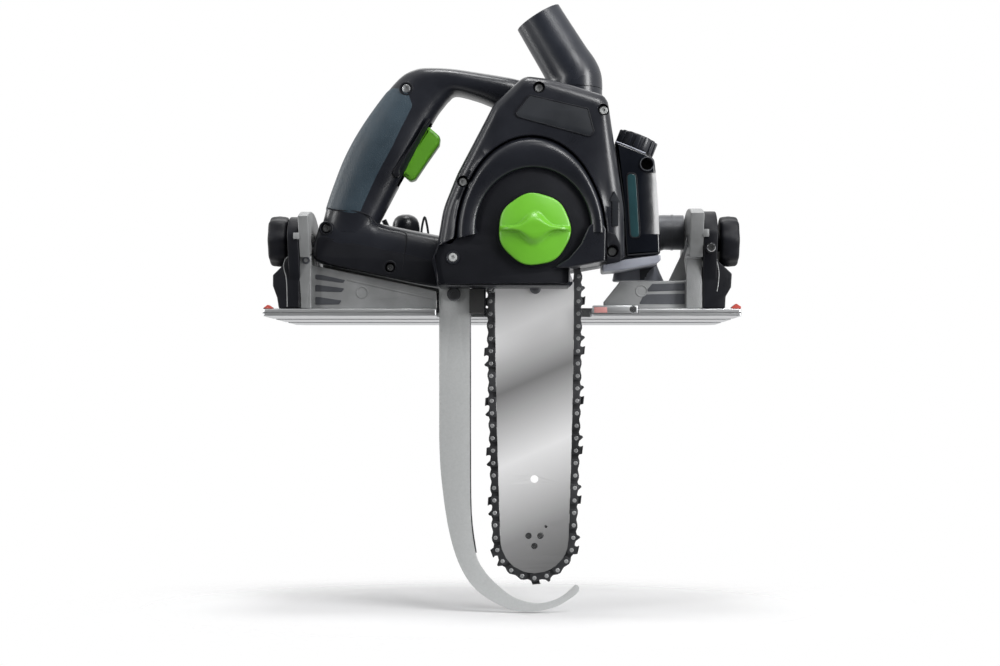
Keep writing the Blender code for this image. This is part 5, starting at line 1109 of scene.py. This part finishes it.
def oil_cap():
    """The ribbed cap, on the seat and the axis that the frame turns it about."""
    joint = frame_joint("oil_cap_turn")
    axis = Vector(joint["axis"])
    along = Vector((axis.z, 0, -axis.x))
    tilt = Matrix((along, axis.cross(along), axis)).transposed()
    seat = Vector(joint["pos_m"]) / MM
    profile = [(0, 12.0), (9.0, 12.0), (9.6, 11.6), (12.6, 11.6), (13.8, 11.3), (14.3, 10.6),
               (14.4, 9.6), (14.4, 1.6), (14.0, 0.6), (9.4, 0.6), (9.4, 5.0), (0, 5.0)]
    cap = turned(profile, seat, tilt, steps=96)
    bars = []
    for index in range(14):
        angle = 2 * math.pi * (index + 0.5) / 14
        bar = block((13.4, -1.75, 0.9), (15.4, 1.75, 11.3), 0.6)
        bars.append(placed(bar, tilt @ Matrix.Rotation(angle, 3, "Z"), seat))
    add("oil_cap_dress", together(cap, *bars), "oil_cap", SATIN_BLACK, ["oil_cap"], sharp=45)


MOTOR = (29.935, 79.6755)


def motor_side():
    """The motor behind the gear housing: its flange, ribbed barrel and screws."""
    x, z = MOTOR
    add("motor_flange", panel([BODY_OUTLINE], -35.6, -30.6, 1.4), "head", SATIN_BLACK,
        ["motor_housing"])
    barrel = turned([(41.0, -34), (44.0, -34), (44.0, 36.0), (43.4, 39.6), (41.0, 40.2),
                     (40.4, 30)], (x, 0, z), steps=96)
    add("motor_barrel", barrel, "head", SATIN_BLACK)
    motor_cap()
    angles = [2 * math.pi * index / 22 for index in range(22)]
    ribs("motor_ribs", [round_motor(44.2, 4.0, angle) for angle in angles], (3.0, 52.0, 1.6),
         "head", SATIN_BLACK, angles)
    screws("flange_screws", [(x, -30.4, z) for x, z in (
        (-44.0, 45.0), (-26.0, 112.0), (16.5, 171.5), (70.0, 160.0), (84.5, 80.0), (85.0, 48.0))],
           "head", 3.2, 2.4, "far")
    corners = [math.pi / 4 * turn for turn in (1, 3, 5, 7)]
    screws("cap_screws", [round_motor(38.0, 52.4, angle) for angle in corners], "head", 2.6, 2.4,
           "far")


def round_motor(radius, y, angle):
    """A place round the motor's axis."""
    return MOTOR[0] + radius * math.sin(angle), y, MOTOR[1] + radius * math.cos(angle)


def motor_cap():
    """The motor's end cap, with twenty slots for its air."""
    centre = (MOTOR[0], 0, MOTOR[1])
    shell = loose("motor_cap", turned([
        (0, 41.0), (43.4, 41.0), (44.0, 41.6), (44.0, 46.0), (43.0, 49.4), (40.0, 52.2),
        (36.0, 53.4), (20.0, 53.5), (17.0, 52.0), (8.0, 52.0), (6.5, 53.4), (0, 53.4)],
        centre, steps=96))
    slots = []
    for index in range(20):
        turn = Matrix.Rotation(2 * math.pi * index / 20, 3, "Y")
        slots.append(placed(block((22.0, 50.6, -1.3), (34.0, 60.0, 1.3), 0), turn, centre))
    carve(shell, together(*slots))
    fit(shell, "head", SATIN_BLACK, ["motor_end_cap"])


def gear_case():
    """The casting behind the shell, and its collar under the dust port."""
    add("gear_case", panel([BODY_OUTLINE], -73.8, -36.1, 1.6), "head", DARK_CAST,
        ["gear_housing"])
    collar = turned([(15.7, 172), (18.2, 172), (18.2, 184.4), (15.7, 184.4)],
                    (PORT_X, PORT_Y, 0), "Z")
    add("port_collar", collar, "head", DARK_CAST)


# Bar, chain and knife

PITCH = 9.525
BAR_X = 24.5
BAR_TOP = 80.5
SHOULDER = 25.4
SHOULDER_HALF = 30.0
NOSE = -169.6
NOSE_RADIUS = 26.0
SPROCKET_Z = 110.5
CHAIN_RIDE = 3.6
NOSE_RIVETS = [(BAR_X - 4.5, NOSE + 2.6), (BAR_X + 4.5, NOSE + 2.6), (BAR_X, NOSE - 5.2)]


def half_width(z):
    """Half the bar's width: widest at its shoulder, a little less at the nose."""
    if z <= SHOULDER:
        share = (z - NOSE) / (SHOULDER - NOSE)
        return NOSE_RADIUS + (SHOULDER_HALF - NOSE_RADIUS) * math.sin(share * math.pi / 2)
    share = (z - SHOULDER) / (BAR_TOP - SHOULDER)
    return SHOULDER_HALF - 19.0 * share


def down_the_bar(count):
    """Evenly spaced heights from the shoulder to just above the nose's centre."""
    return [SHOULDER + (NOSE - SHOULDER) * step / count for step in range(count)]


def bar_plates():
    """The two plates of the bar, their nose rivets and the core between them."""
    heights = [BAR_TOP, 70, 60, 50, 40, 32] + down_the_bar(24)
    side = [(half_width(z), z) for z in heights]
    nose = circle((0, NOSE), NOSE_RADIUS, 48, 0, -180)
    outline = [(BAR_X + x, z) for x, z in side + nose + [(-x, z) for x, z in reversed(side)]]
    oil_hole = circle((33.2, -160.0), 1.1, 16)
    slot = rounded([(19.5, 52.6, 4.9), (29.5, 52.6, 4.9), (29.5, 68.4, 4.9), (19.5, 68.4, 4.9)])
    holes = [circle((BAR_X, -123.8), 3.0, 32), oil_hole, slot]
    for label, low, high in (("near", -83.1, -81.9), ("far", -80.1, -78.9)):
        add(f"bar_{label}", panel([outline] + holes, low, high, 0.12), "bar", BAR_STEEL,
            [f"bar_plate_{label}"], sharp=15)
    rivet = [(0, -83.3), (1.6, -83.3), (1.8, -83.2), (1.8, -78.8), (1.6, -78.7), (0, -78.7)]
    rim = [(1.9, -82.9), (1.9, -83.14), (2.4, -83.14), (2.4, -82.9)]
    for name, profile, surface in (("bar_rivets", rivet, RIVET_STEEL),
                                   ("bar_rivet_rims", rim, CHAIN_STEEL)):
        add(name, together(*(turned(profile, (x, 0, z), steps=24) for x, z in NOSE_RIVETS)), "bar",
            surface)
    side = [(half_width(z) - 5.6, z) for z in (46, 20, -60, -140)]
    core = [(BAR_X + x, z) for x, z in side + [(-x, z) for x, z in reversed(side)]]
    add("bar_middle", panel([core] + holes[:1], -81.7, -80.3, 0.1), "bar", BAR_STEEL, ["bar_core"],
        sharp=15)


def chain_line():
    """The line through the chain's rivets, starting over the drive sprocket."""
    radius = 21.2
    low = [(half_width(SHOULDER) + CHAIN_RIDE, SHOULDER + 10.0)]
    low += [(half_width(z) + CHAIN_RIDE, z) for z in down_the_bar(8)]
    start = low[0]
    distance = math.hypot(start[0], start[1] - SPROCKET_Z)
    toward = math.atan2(start[0], start[1] - SPROCKET_Z)
    touch = toward - math.acos(radius / distance)
    top = [(radius * math.sin(touch * step / 10), SPROCKET_Z + radius * math.cos(touch * step / 10))
           for step in range(11)]
    nose = circle((0, NOSE), NOSE_RADIUS + CHAIN_RIDE, 12, 0, -90)
    half = top + low + nose
    return [(BAR_X + x, z) for x, z in half + [(-x, z) for x, z in reversed(half[1:-1])]]


def stations(line, count):
    """Evenly spaced places along a closed line, as points."""
    closed = [Vector(point) for point in line + line[:1]]
    lengths = [(b - a).length for a, b in zip(closed, closed[1:])]
    total = sum(lengths)
    found = []
    index = 0
    passed = 0.0
    for step in range(count):
        wanted = total * step / count
        while passed + lengths[index] < wanted:
            passed += lengths[index]
            index += 1
        share = (wanted - passed) / lengths[index]
        found.append(closed[index].lerp(closed[index + 1], share))
    return found, total


NEAR_STRAP = (-2.35, -1.2)
FAR_STRAP = (1.2, 2.35)


def link_shapes():
    """Link outlines along +X with outside up: drive link, strap and both cutters."""
    half = PITCH / 2
    end = half + 2.9
    waist = rounded([(-end, -3.4, 1.2), (-end, 1.4, 2.5), (-half - 0.4, 3.1, 2.5), (0, 1.8, 4),
                     (half + 0.4, 3.1, 2.5), (end, 1.4, 2.5), (end, -3.4, 1.2)])
    strap = together(*(panel([waist], low, high, 0.2) for low, high in (NEAR_STRAP, FAR_STRAP)))
    tang = rounded([(-half - 2.4, 0.6, 1.5), (-half - 1.6, 2.6, 1), (-half + 1.5, 3.0, 1),
                    (0, 1.9, 2), (half - 1.5, 3.0, 1), (half + 1.6, 2.6, 1), (half + 2.4, 0.6, 1.5),
                    (half + 1.6, -3.6, 1), (2.6, -3.9, 1), (0.9, -7.6, 0.6), (-0.4, -7.9, 0.6),
                    (-2.2, -3.9, 1), (-half - 1.6, -3.6, 1)])
    drive = panel([tang], -0.62, 0.62, 0.12)
    blade = rounded([(-end, -3.4, 1.2), (-end, 1.6, 1.5), (-half - 1.9, 4.6, 0.5),
                     (-half - 0.7, 5.2, 0.4), (-half + 1.5, 3.0, 0.8), (-1.6, 0.7, 1.4),
                     (0.4, 0.7, 1.2), (1.5, 3.2, 1.0), (0.9, 5.3, 0.2), (half + 2.3, 4.7, 0.4),
                     (end, 2.6, 1), (end, -3.4, 1.2)])
    roof = rounded([(0.8, 5.35, 0.15), (half + 2.3, 4.8, 0.2), (half + 2.5, 3.9, 0.2),
                    (1.2, 4.4, 0.1)])
    cutters = [together(panel([blade], *plate, 0.18), panel([waist], *back, 0.2),
                        panel([roof], *top, 0.15))
               for plate, back, top in ((NEAR_STRAP, FAR_STRAP, (-2.35, 1.4)),
                                        (FAR_STRAP, NEAR_STRAP, (-1.4, 2.35)))]
    return [drive, strap] + cutters


def link_kinds(count):
    """Every other link drives; between them cutters take turns with straps."""
    kinds = []
    for index in range(count):
        if index % 2 == 0:
            kinds.append(0)
        elif index % 4 == 1:
            kinds.append(2 + (index // 4) % 2)
        else:
            kinds.append(1)
    return kinds


def saw_chain():
    """The chain, link by link, with one link in bright steel near its top left, and its pins."""
    line = chain_line()
    total = stations(line, 1)[1]
    count = 2 * round(total / PITCH / 2)
    rivets = stations(line, count)[0]
    kinds = link_kinds(count)
    places, turns = [], []
    for one, two in zip(rivets, rivets[1:] + rivets[:1]):
        middle = (one + two) / 2
        heading = two - one
        places.append((middle.x, BAR_Y, middle.y))
        turns.append(-math.atan2(heading.y, heading.x))
    # One strap link near the chain's top left is given bright steel.
    bright_index = min((i for i in range(count) if kinds[i] == 1),
                  key=lambda i: abs(places[i][0] + 9.1) + abs(places[i][2] - 23.0))
    kinds[bright_index] = 4
    bright_shape = link_shapes()[1]
    names = ("drive_links", "strap_links", "cutters_near", "cutters_far", "joining_link")
    for kind, (name, shape) in enumerate(zip(names, link_shapes() + [bright_shape])):
        surface = SCREW_STEEL if name == "joining_link" else CHAIN_STEEL
        place_links(name, shape, surface, points_mesh(places, turns, kinds), kind)
    pin = turned([(0, -2.7), (1.25, -2.7), (1.55, -2.45), (1.55, 2.45), (1.25, 2.7), (0, 2.7)],
                 (0, 0, 0), steps=14)
    pins = points_mesh([(spot.x, BAR_Y, spot.y) for spot in rivets], [0.0] * count, [0] * count)
    place_links("chain_pins", pin, RIVET_STEEL, pins, 0)


def place_links(name, shape, surface, points, kind):
    """Copies a link to the points of its kind; the drive links replace the frame's chain."""
    link = loose(name + "_pattern", shape)
    smooth(link, 30)
    piece = run_tree(name, LINKS, points, "head",
                     {"Link": link, "Kind": kind, "Finish": surface}, sharp=30)
    bpy.data.objects.remove(link, do_unlink=True)
    if name == "drive_links":
        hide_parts("saw_chain")


KNIFE_LOWEST = -225.17


def riving_knife():
    """The long bow behind the chain that ends in a tip beyond the bar's nose."""
    outer = [(-48.2, -94.0), (-46.7, -121.5), (-41.6, -158.9), (-33.9, -186.4), (-22.9, -205.2),
             (-9.0, -216.3), (7.7, -223.7), (25.2, -225.0), (41.9, -220.7), (53.3, -214.0)]
    inner = [(55.7, -204.3), (46.6, -212.4), (37.3, -216.9), (24.4, -218.5), (9.6, -214.4),
             (-3.3, -205.0), (-13.5, -194.2), (-20.4, -180.0), (-24.2, -149.6), (-24.8, -94.0)]
    tip = [(56.4, -211.6), (58.4, -209.2), (58.6, -206.4), (57.4, -204.8)]
    outline = [(-48.2, 44.8)] + through(outer, 6) + tip + through(inner, 6) + [(-24.8, 44.8)]
    outline = [(x, max(z, KNIFE_LOWEST)) for x, z in outline]
    add("riving_knife_dress", panel([outline, circle((-36.5, 30.0), 3.2, 24)], -82.3, -79.7, 0.25),
        "head", KNIFE_STEEL, ["riving_knife"], sharp=15)


def knife_fittings():
    """A dark rod along the knife's back edge that paints the shade on its chamfer, the knife's screw and guide,
    and the small bump on the bar's near side.
    """
    # Painted shade: a dark rod along the knife's back edge stands in for its chamfer's shaded side.
    back = through([(-24.8, 19.0), (-24.8, -60.0), (-24.8, -94.0), (-24.2, -149.6),
                    (-20.4, -180.0)], 4)
    add("knife_back_edge", rod([(x + 0.35, -81.6, z) for x, z in back], 0.6), "head",
        CHAIN_STEEL)
    screws("knife_screw", [(-36.9, -84.0, 17.0)], "head", 5.2, 2.0, surface=CHAIN_STEEL)
    add("knife_guide", together(block((-23.4, -84.0, 2.6), (-12.6, -77.6, 22.4), 0.8),
                                block((-50.0, -83.4, 3.0), (-48.4, -78.6, 18.0), 0.3)), "head",
        FLAT_BLACK)
    add("knife_bump", turned([(0, -86.0), (3.2, -86.0), (4.3, -85.2), (4.3, -82.0), (0, -82.0)],
                             (25.2, 0, 21.6), steps=32), "head", CHAIN_STEEL)


# Base plate, brackets and clamps

PLATE_HALF = 180.98
RAILS = (-64.0, -4.0, 4.0, 60.0, 90.0)
GROOVES = (-34.0, 34.0)


def base_plate():
    """The plate with its notch for bar and knife, the grooves under it and the rails on it."""
    half = PLATE_HALF
    outline = rounded([(-half, -95, 2), (-50, -95, 1), (-50, -71, 2), (68, -71, 2), (68, -95, 1),
                       (half, -95, 2), (half, 87, 3), (173, 95, 3), (-173, 95, 3), (-half, 87, 3)])
    plate = loose("base_plate_dress", panel([outline], 0.0, 5.5, 0.5, "Z"))
    carve(plate, *(block((-190, y - 8.5, -3), (190, y + 8.5, 2.2), 0) for y in GROOVES),
          *(block((low, -97, 1.9), (high, -94.2, 3.1), 0) for low, high in ((-190, -51),
                                                                            (104, 190))),
          block((65, -98, 1.5), (103, -89, 8), 0))
    fit(plate, "base", PLATE_ALLOY, ["base_plate"])
    add("plate_rails", together(*(block((-181, y - 1.1, 5.4), (181, y + 1.1, 7.4), 0.3)
                                  for y in RAILS)), "base", PLATE_ALLOY)


def plate_edge():
    """What the plate's near edge carries: splinter guard, its key and slide, and the red tips."""
    add("splinter_guard_dress", block((68.3, -95.0, 1.8), (102.6, -89.3, 8.0), 0.8), "base",
        PLATE_ALLOY, ["splinter_guard"])
    add("guard_key", turned([(0, -95.3), (2.6, -95.3), (3.0, -94.9), (3.0, -93.0), (0, -93.0)],
                            (99.0, 0, 4.9), steps=28), "base", SCREW_STEEL)
    add("guard_slide", block((69.6, -95.3, 2.4), (79.4, -94.6, 6.8), 0.3), "base", ROSE_SLIDE)
    for name, x, tall in (("rear", -1, 7.4), ("front", 1, 8.2)):
        low, high = sorted((x * 173.5, x * 180.6))
        shape = rounded([(low, 5.6, 0.4), (high, 5.6, 0.4), (high, tall - 1.0, 1.0),
                         ((low + high) / 2, tall + 1.4, 1.2), (low, tall - 1.4, 1.0)])
        add(f"{name}_red_tip", panel([shape], -94.6, -86.0, 0.4), "base", RED_TIP)


CLAMP_Z = 57.4


def swivel_segment(side, sign, inside, outside):
    """The segment with its curved slot, both drawn round the tilt line."""
    centre = (BAR_Y, 0)
    top = 79.8 if side == "rear" else 82.2
    outline = circle(centre, top, 60, 112, 18) + circle(centre, 47.7, 50, 18, 112)
    slot = circle(centre, 61.9, 40, 100, 30) + circle(centre, 53.0, 40, 30, 100)
    low, high = sorted((sign * inside, sign * outside))
    add(f"{side}_segment_dress", panel([outline, slot], low, high, 1.0, "X"), "head", CAST_ALLOY,
        [f"{side}_segment"])


FOOT_OUTLINES = {
    "rear": [(-165.6, 38.7, 2), (-162.6, 43.8, 2), (-155.4, 44.6, 1), (-153.1, 38.0), (-153.1, 8.8),
             (-153.1, 5.9, 0.5), (-168.9, 5.9, 1), (-170.2, 14.0, 2), (-173.4, 23.0, 2),
             (-173.4, 31.0, 2)],
    "front": [(152.1, 44.2, 1), (161.1, 44.2, 2), (173.8, 32.1, 2), (173.2, 21.8, 2),
              (169.1, 14.8, 2), (168.6, 5.9, 1), (152.1, 5.9, 0.5)]}


def bracket(side, sign, inside, thickness):
    """A bracket on the plate, with its chamfered foot, tabs and the light edge of its cheek."""
    y0 = BAR_Y
    wall = sign * (inside + 0.3)
    face = sign * (inside + 0.3 + thickness)
    crown = 18.6 if side == "rear" else 23.0
    top = circle((y0, CLAMP_Z), 24.0, 20, 172, 8, tall=crown)
    outline = rounded(list(top) + [(y0 + 50, 25.8, 8), (y0 + 50, 6.0, 1),
                                   (y0 - 12.5, 6.0, 1), (y0 - 12.5, 26.0, 6)])
    low, high = sorted((wall, face))
    foot = panel([rounded(FOOT_OUTLINES[side])], y0 - 13.0, y0 + 30, 1.0)
    add(f"{side}_bracket_dress", together(panel([outline], low, high, 0.9, "X"), foot), "base",
        FLAT_BLACK, [f"{side}_bracket"])
    if side == "rear":
        edge = [(-156.0, 45.4), (-161.6, 44.9), (-164.6, 41.0), (-164.9, 36.0), (-163.0, 27.0),
                (-162.4, 7.0)]
        tabs = [(wall - 3.6, 57.2, 62.0)]
    else:
        edge = [(162.0, 42.6), (163.8, 34.0), (163.6, 26.0), (162.4, 18.6)]
        tabs = [(wall - 1.0, 59.0, 64.8), (wall - 0.6, 37.4, 41.8)]
    line = [(x, y0 - 12.9, z) for x, z in through(edge, 4)]
    add(f"{side}_cheek_edge", rod(line, 0.4), "base", CAST_ALLOY)
    add(f"{side}_tabs", together(*(block((x, y0 - 25.0 if low_z > 50 else y0 - 13.4, low_z),
                                         (x + 4.6, y0 - 10.0, high_z), 0.4)
                                   for x, low_z, high_z in tabs)), "base", CAST_ALLOY)
    if side == "front":
        screws("bracket_screw", [(157.0, y0 - 23.6, 51.0)], "base", 3.3, 1.6)
        add("bracket_boss", turned([(0, y0 - 23.4), (3.9, y0 - 23.4), (4.3, y0 - 23.0),
                                    (4.3, y0 - 8.0), (0, y0 - 8.0)], (157.0, 0, 51.0), steps=32),
            "base", FLAT_BLACK)


def clamp_knob(side, sign, start, stem):
    """The knob of a bevel clamp, with eight waves round its grip."""
    face = sign * start
    grip = sign * (start + stem)
    end = sign * (start + stem + 14.2)
    profile = [(3.9, face), (7.8, face), (7.8, grip), (15.6, grip), (17.6, grip + sign * 0.8),
               (18.2, grip + sign * 2.6), (18.7, (grip + end) / 2), (18.2, end - sign * 2.2),
               (17.6, end - sign * 0.8), (16.4, end), (6.0, end), (5.4, end - sign * 1.0),
               (3.9, end - sign * 1.0)]
    add(f"{side}_clamp_knob_dress",
        turned(profile, (0, BAR_Y, CLAMP_Z), "X", 120, wave=(0.6, 8, 15.0)),
        f"{side}_knob", FLAT_BLACK, [f"{side}_clamp_knob"], sharp=50)


RIB_OUTLINES = {
    "rear": [(-148.0, 5.9, 1), (-50.5, 5.9, 1), (-50.5, 19.4, 1), (-66.0, 23.0), (-95.5, 29.2),
             (-112.0, 32.4), (-129.6, 36.0, 1), (-138.0, 38.0, 1), (-148.0, 39.6, 1)],
    "front": [(77.2, 5.9, 1), (146.0, 5.9, 1), (146.0, 27.4, 1), (89.6, 26.8, 1),
              (77.2, 11.2, 1)]}
WALL_OUTLINES = {
    "rear": [(-154.6, 45.0, 0.6), (-145.7, 45.0, 1.6), (-144.2, 41.4, 1), (-145.7, 24.3),
             (-147.7, 6.0, 0.5), (-151.6, 6.0, 0.5), (-152.9, 26.0), (-154.4, 38.0)],
    "front": [(139.4, 45.0, 0.6), (150.2, 45.0, 0.6), (150.2, 6.0, 0.5), (139.4, 6.0, 0.5)]}
RIB_POCKETS = {
    "rear": [[(-142.0, 28.4), (-121.0, 25.6), (-119.0, 27.6), (-137.0, 31.6), (-142.0, 32.0)],
             [(-142.0, 19.2), (-122.0, 18.6), (-120.0, 21.4), (-138.0, 23.8), (-142.0, 24.2)],
             [(-142.0, 9.0), (-124.0, 9.2), (-122.0, 12.2), (-138.0, 14.6), (-142.0, 15.0)]],
    "front": [[(109.0, 19.0), (138.6, 19.8), (138.6, 25.4), (114.0, 24.8)],
              [(104.0, 9.4), (138.6, 9.4), (138.6, 17.4), (108.0, 16.8)]]}
RIB_MARKS = {"rear": (-106.6, 18.3), "front": (105.9, 19.4)}


def quadrant(side, sign, inside, outside):
    """The casting on the plate inside the segment, with its pocketed rib under the head."""
    y0 = BAR_Y
    low, high = sorted((sign * inside, sign * outside))
    outline = circle((y0, 0), 47.1, 40, 105.4, 7.2) + [(y0 - 12.5, 5.9)]
    if side == "front":
        web = panel([[(138.0, 50.0), (127.2, 27.6), (141.0, 27.6)]], y0 + 2.0, y0 + 6.0, 0.4)
    else:
        web = panel([[(-118.0, 27.4), (-50.6, 12.2), (-50.6, 13.4), (-118.0, 28.6)]], y0 - 6.0,
                    y0 - 5.0, 0.2)
    casting = together(panel([outline], low, high, 0.9, "X"),
                       panel([rounded(RIB_OUTLINES[side])], y0 - 5.5, y0 + 5.5, 0.9),
                       panel([rounded(WALL_OUTLINES[side])], y0 - 12.9, y0 - 9.0, 0.4), web)
    add(f"{side}_quadrant_dress", casting, "base", CAST_ALLOY, [f"{side}_quadrant"], sharp=25)
    add(f"{side}_rib_pockets", together(*(panel([rounded(spot, 0.8)], y0 - 5.8, y0 - 5.3, 0.1)
                                          for spot in RIB_POCKETS[side])), "base", DARK_CAST,
        sharp=25)
    x, z = RIB_MARKS[side]
    add(f"{side}_rib_mark", turned([(3.6, y0 - 5.4), (3.8, y0 - 5.9), (4.5, y0 - 5.9),
                                    (4.7, y0 - 5.4)], (x, 0, z), steps=32), "base", CAST_ALLOY)
    if side == "front":
        add("step_edge", block((139.2, y0 - 13.6, 43.4), (150.4, y0 - 9.0, 45.1), 0.4), "base",
            PLATE_ALLOY)
    else:
        add("pin_hole", turned([(1.4, y0 - 12.8), (1.5, y0 - 13.2), (2.8, y0 - 13.2),
                                (3.0, y0 - 12.8)], (-148.2, 0, 42.2), steps=24), "base", DARK_CAST)


TUBE_Y = -47
TUBE_RADIUS = 13.6


def front_grip():
    """The front handle: a post under the tank that turns into an arm to the segment."""
    line = [(107.0, 29.6), (107.0, 44.0), (108.6, 55.0), (114.4, 63.4), (123.0, 67.2),
            (131.0, 67.4), (140.9, 67.4)]
    route = [(x, TUBE_Y, z) for x, z in through(line, 5)]
    add("front_handle_dress", rod(route, TUBE_RADIUS, 40), "head", DARK_CAST,
        ["front_handle"])
    loops = []
    for z, middle, half in ((28.9, 105.6, 19.4), (29.7, 105.6, 20.1), (36.0, 104.8, 18.0),
                            (42.0, 104.0, 16.4), (46.0, 103.6, 15.6)):
        ring = circle((middle, TUBE_Y), half, 48, tall=TUBE_RADIUS)
        loops.append([(x, y, z) for x, y in ring])
    add("front_post_foot", skin(loops), "head", FLANGE_GREY, sharp=50)
    add("front_handle_ring", together(
        rod([(131.4, TUBE_Y, 67.4), (133.0, TUBE_Y, 67.4)], 14.0, 40),
        rod([(93.0, TUBE_Y, 42.5), (107.0, TUBE_Y, 42.5)], 10.0, 32)), "head", DARK_CAST)


# The studio, in metres

LAMPS = (
    ("key", (0.55, -1.0, 1.2), (0.5, 0.35), 10), ("top", (0.0, -0.1, 1.7), (0.5, 0.4), 12),
    ("fill", (-1.2, -1.0, 0.5), (0.2, 1.2), 9), ("back", (0.0, 1.3, 1.3), (1.2, 1.2), 6),
    ("left_strip", (-1.4, 0.3, 0.3), (0.3, 1.2), 9),
    ("right_strip", (1.1, -0.8, 0.35), (0.36, 1.1), 19))
LAMPS_AIM = (0.02, -0.05, 0.0)
CAMERA_PLACE = (0.0211, -1.381, -0.0536)
LENS_MM = 61.3
LENS_SHIFT = (-0.030, 0.054)
FLOOR_LEVEL = -0.2262
FLOOR_HALF = (0.6, 0.4)


def lamps():
    """Lamps that face the saw, each with its size and power."""
    for name, place, size, power in LAMPS:
        lamp = bpy.data.lights.new(name, "AREA")
        lamp.shape = "RECTANGLE"
        lamp.size, lamp.size_y = size
        lamp.energy = power
        made = bpy.data.objects.new(name, lamp)
        made.location = place
        aim = Vector(LAMPS_AIM) - Vector(place)
        made.rotation_euler = aim.to_track_quat("-Z", "Y").to_euler()
        bpy.context.scene.collection.objects.link(made)


def camera():
    """The photograph's view, level and square to the saw's side."""
    lens = bpy.data.cameras.new("camera")
    lens.lens = LENS_MM
    lens.sensor_width = 36.0
    lens.shift_x, lens.shift_y = LENS_SHIFT
    made = bpy.data.objects.new("camera", lens)
    made.location = CAMERA_PLACE
    made.rotation_euler = (math.pi / 2, 0.0, 0.0)
    bpy.context.scene.collection.objects.link(made)
    bpy.context.scene.camera = made
    bpy.context.scene.view_settings.view_transform = "Standard"


def studio_air():
    """White to the camera; reflections see white behind the saw and a darker room in front."""
    world = bpy.data.worlds.new("studio")
    bpy.context.scene.world = world
    world.use_nodes = True
    tree = world.node_tree
    path = add_node(tree, "ShaderNodeLightPath")
    ahead = add_node(tree, "ShaderNodeTexCoord").outputs["Generated"]
    depth = add_node(tree, "ShaderNodeSeparateXYZ", Vector=ahead).outputs["Y"]
    room = add_node(tree, "ShaderNodeMapRange", Value=depth, interpolation_type="SMOOTHSTEP",
                    From_Min=-0.92, From_Max=-0.15, To_Min=0.03, To_Max=0.8)
    shine = add_node(tree, "ShaderNodeMath", operation="MAXIMUM")
    plug(tree, shine.inputs[0], path.outputs["Is Glossy Ray"])
    plug(tree, shine.inputs[1], path.outputs["Is Transmission Ray"])
    soft = number_mix(tree, shine.outputs["Value"], 0.37, room.outputs["Result"])
    seen = number_mix(tree, path.outputs["Is Camera Ray"], soft, 1.0)
    plug(tree, tree.nodes["Background"].inputs["Color"], seen)
    tree.nodes["Background"].inputs["Strength"].default_value = 1.0


def pale_floor():
    """A pale floor that fades into the white, and keeps the saw's soft shadow."""
    wide, deep = FLOOR_HALF
    floor = bpy.data.meshes.new("floor")
    floor.from_pydata([(-wide, -deep, FLOOR_LEVEL), (wide, -deep, FLOOR_LEVEL),
                       (wide, deep, FLOOR_LEVEL), (-wide, deep, FLOOR_LEVEL)], [], [(0, 1, 2, 3)])
    stand = bpy.data.objects.new("floor", floor)
    bpy.context.scene.collection.objects.link(stand)
    pale = bpy.data.materials.new("pale_floor")
    pale.use_nodes = True
    tree = pale.node_tree
    shader = tree.nodes["Principled BSDF"]
    place = add_node(tree, "ShaderNodeTexCoord").outputs["Object"]
    mapped = add_node(tree, "ShaderNodeMapping", Vector=place, Location=(0.05, 0.20, 0.0),
                      Scale=(2.7, 4.2, 0.0))
    far = add_node(tree, "ShaderNodeVectorMath", operation="LENGTH")
    plug(tree, far.inputs[0], mapped.outputs["Vector"])
    fade = add_node(tree, "ShaderNodeMapRange", Value=far.outputs["Value"],
                    interpolation_type="SMOOTHSTEP", From_Min=0.25, From_Max=1.0, To_Min=1.0,
                    To_Max=0.0)
    plug(tree, shader.inputs["Alpha"], fade.outputs["Result"])
    shader.inputs["Base Color"].default_value = (0.66, 0.66, 0.665, 1.0)
    shader.inputs["Roughness"].default_value = 0.95
    shader.inputs["Specular IOR Level"].default_value = 0.1
    floor.materials.append(pale)


def dress_frame_nodes():
    """Finishes for the frame's own nodes, which stay where nothing replaces them."""
    by_slot = {"black_plastic": SATIN_BLACK, "gloss_black": TANK_BLACK, "grip_grey": SLATE_GRIP,
               "green_plastic": LEAF_GREEN, "grey_casting": CAST_ALLOY, "dark_casting": DARK_CAST,
               "plate_alloy": PLATE_ALLOY, "bar_steel": BAR_STEEL, "knife_steel": KNIFE_STEEL,
               "chain_steel": CHAIN_STEEL, "bright_steel": SCREW_STEEL, "copper": COPPER,
               "carbon": CARBON, "iron_stack": IRON, "rubber": RUBBER,
               "circuit_green": BOARD_GREEN, "clear_window": WINDOW}
    for entry in frame["record"]["subparts"]:
        node = frame["nodes"][entry["node"]]
        for slot in node.material_slots:
            slot.material = by_slot[entry["material_slot"]]


# Side, its sign, the segment's inside and thickness, the cheek's thickness, the knob's stem
SIDES = (("rear", -1, 144.6, 7.8, 8.5, 1.0), ("front", 1, 141.2, 10.2, 10.5, 2.6))


def build():
    """Makes every piece, then the studio."""
    dress_frame_nodes()
    near_shell()
    bare_label()
    shell_marks()
    sprocket_cover()
    cover_dish()
    cover_knob()
    handle_grip()
    handle_foot()
    foot_rear()
    grip_pads()
    trigger_set()
    dust_port()
    oil_tank()
    sight_window()
    tank_flange()
    oil_cap()
    motor_side()
    gear_case()
    bar_plates()
    saw_chain()
    riving_knife()
    knife_fittings()
    base_plate()
    plate_edge()
    for side, sign, inside, thickness, cheek, stem in SIDES:
        swivel_segment(side, sign, inside, inside + thickness)
        quadrant(side, sign, inside, inside + thickness)
        bracket(side, sign, inside + thickness, cheek)
        clamp_knob(side, sign, inside + thickness + 0.6 + cheek, stem)
    front_grip()
    studio_air()
    pale_floor()
    lamps()
    camera()


build()
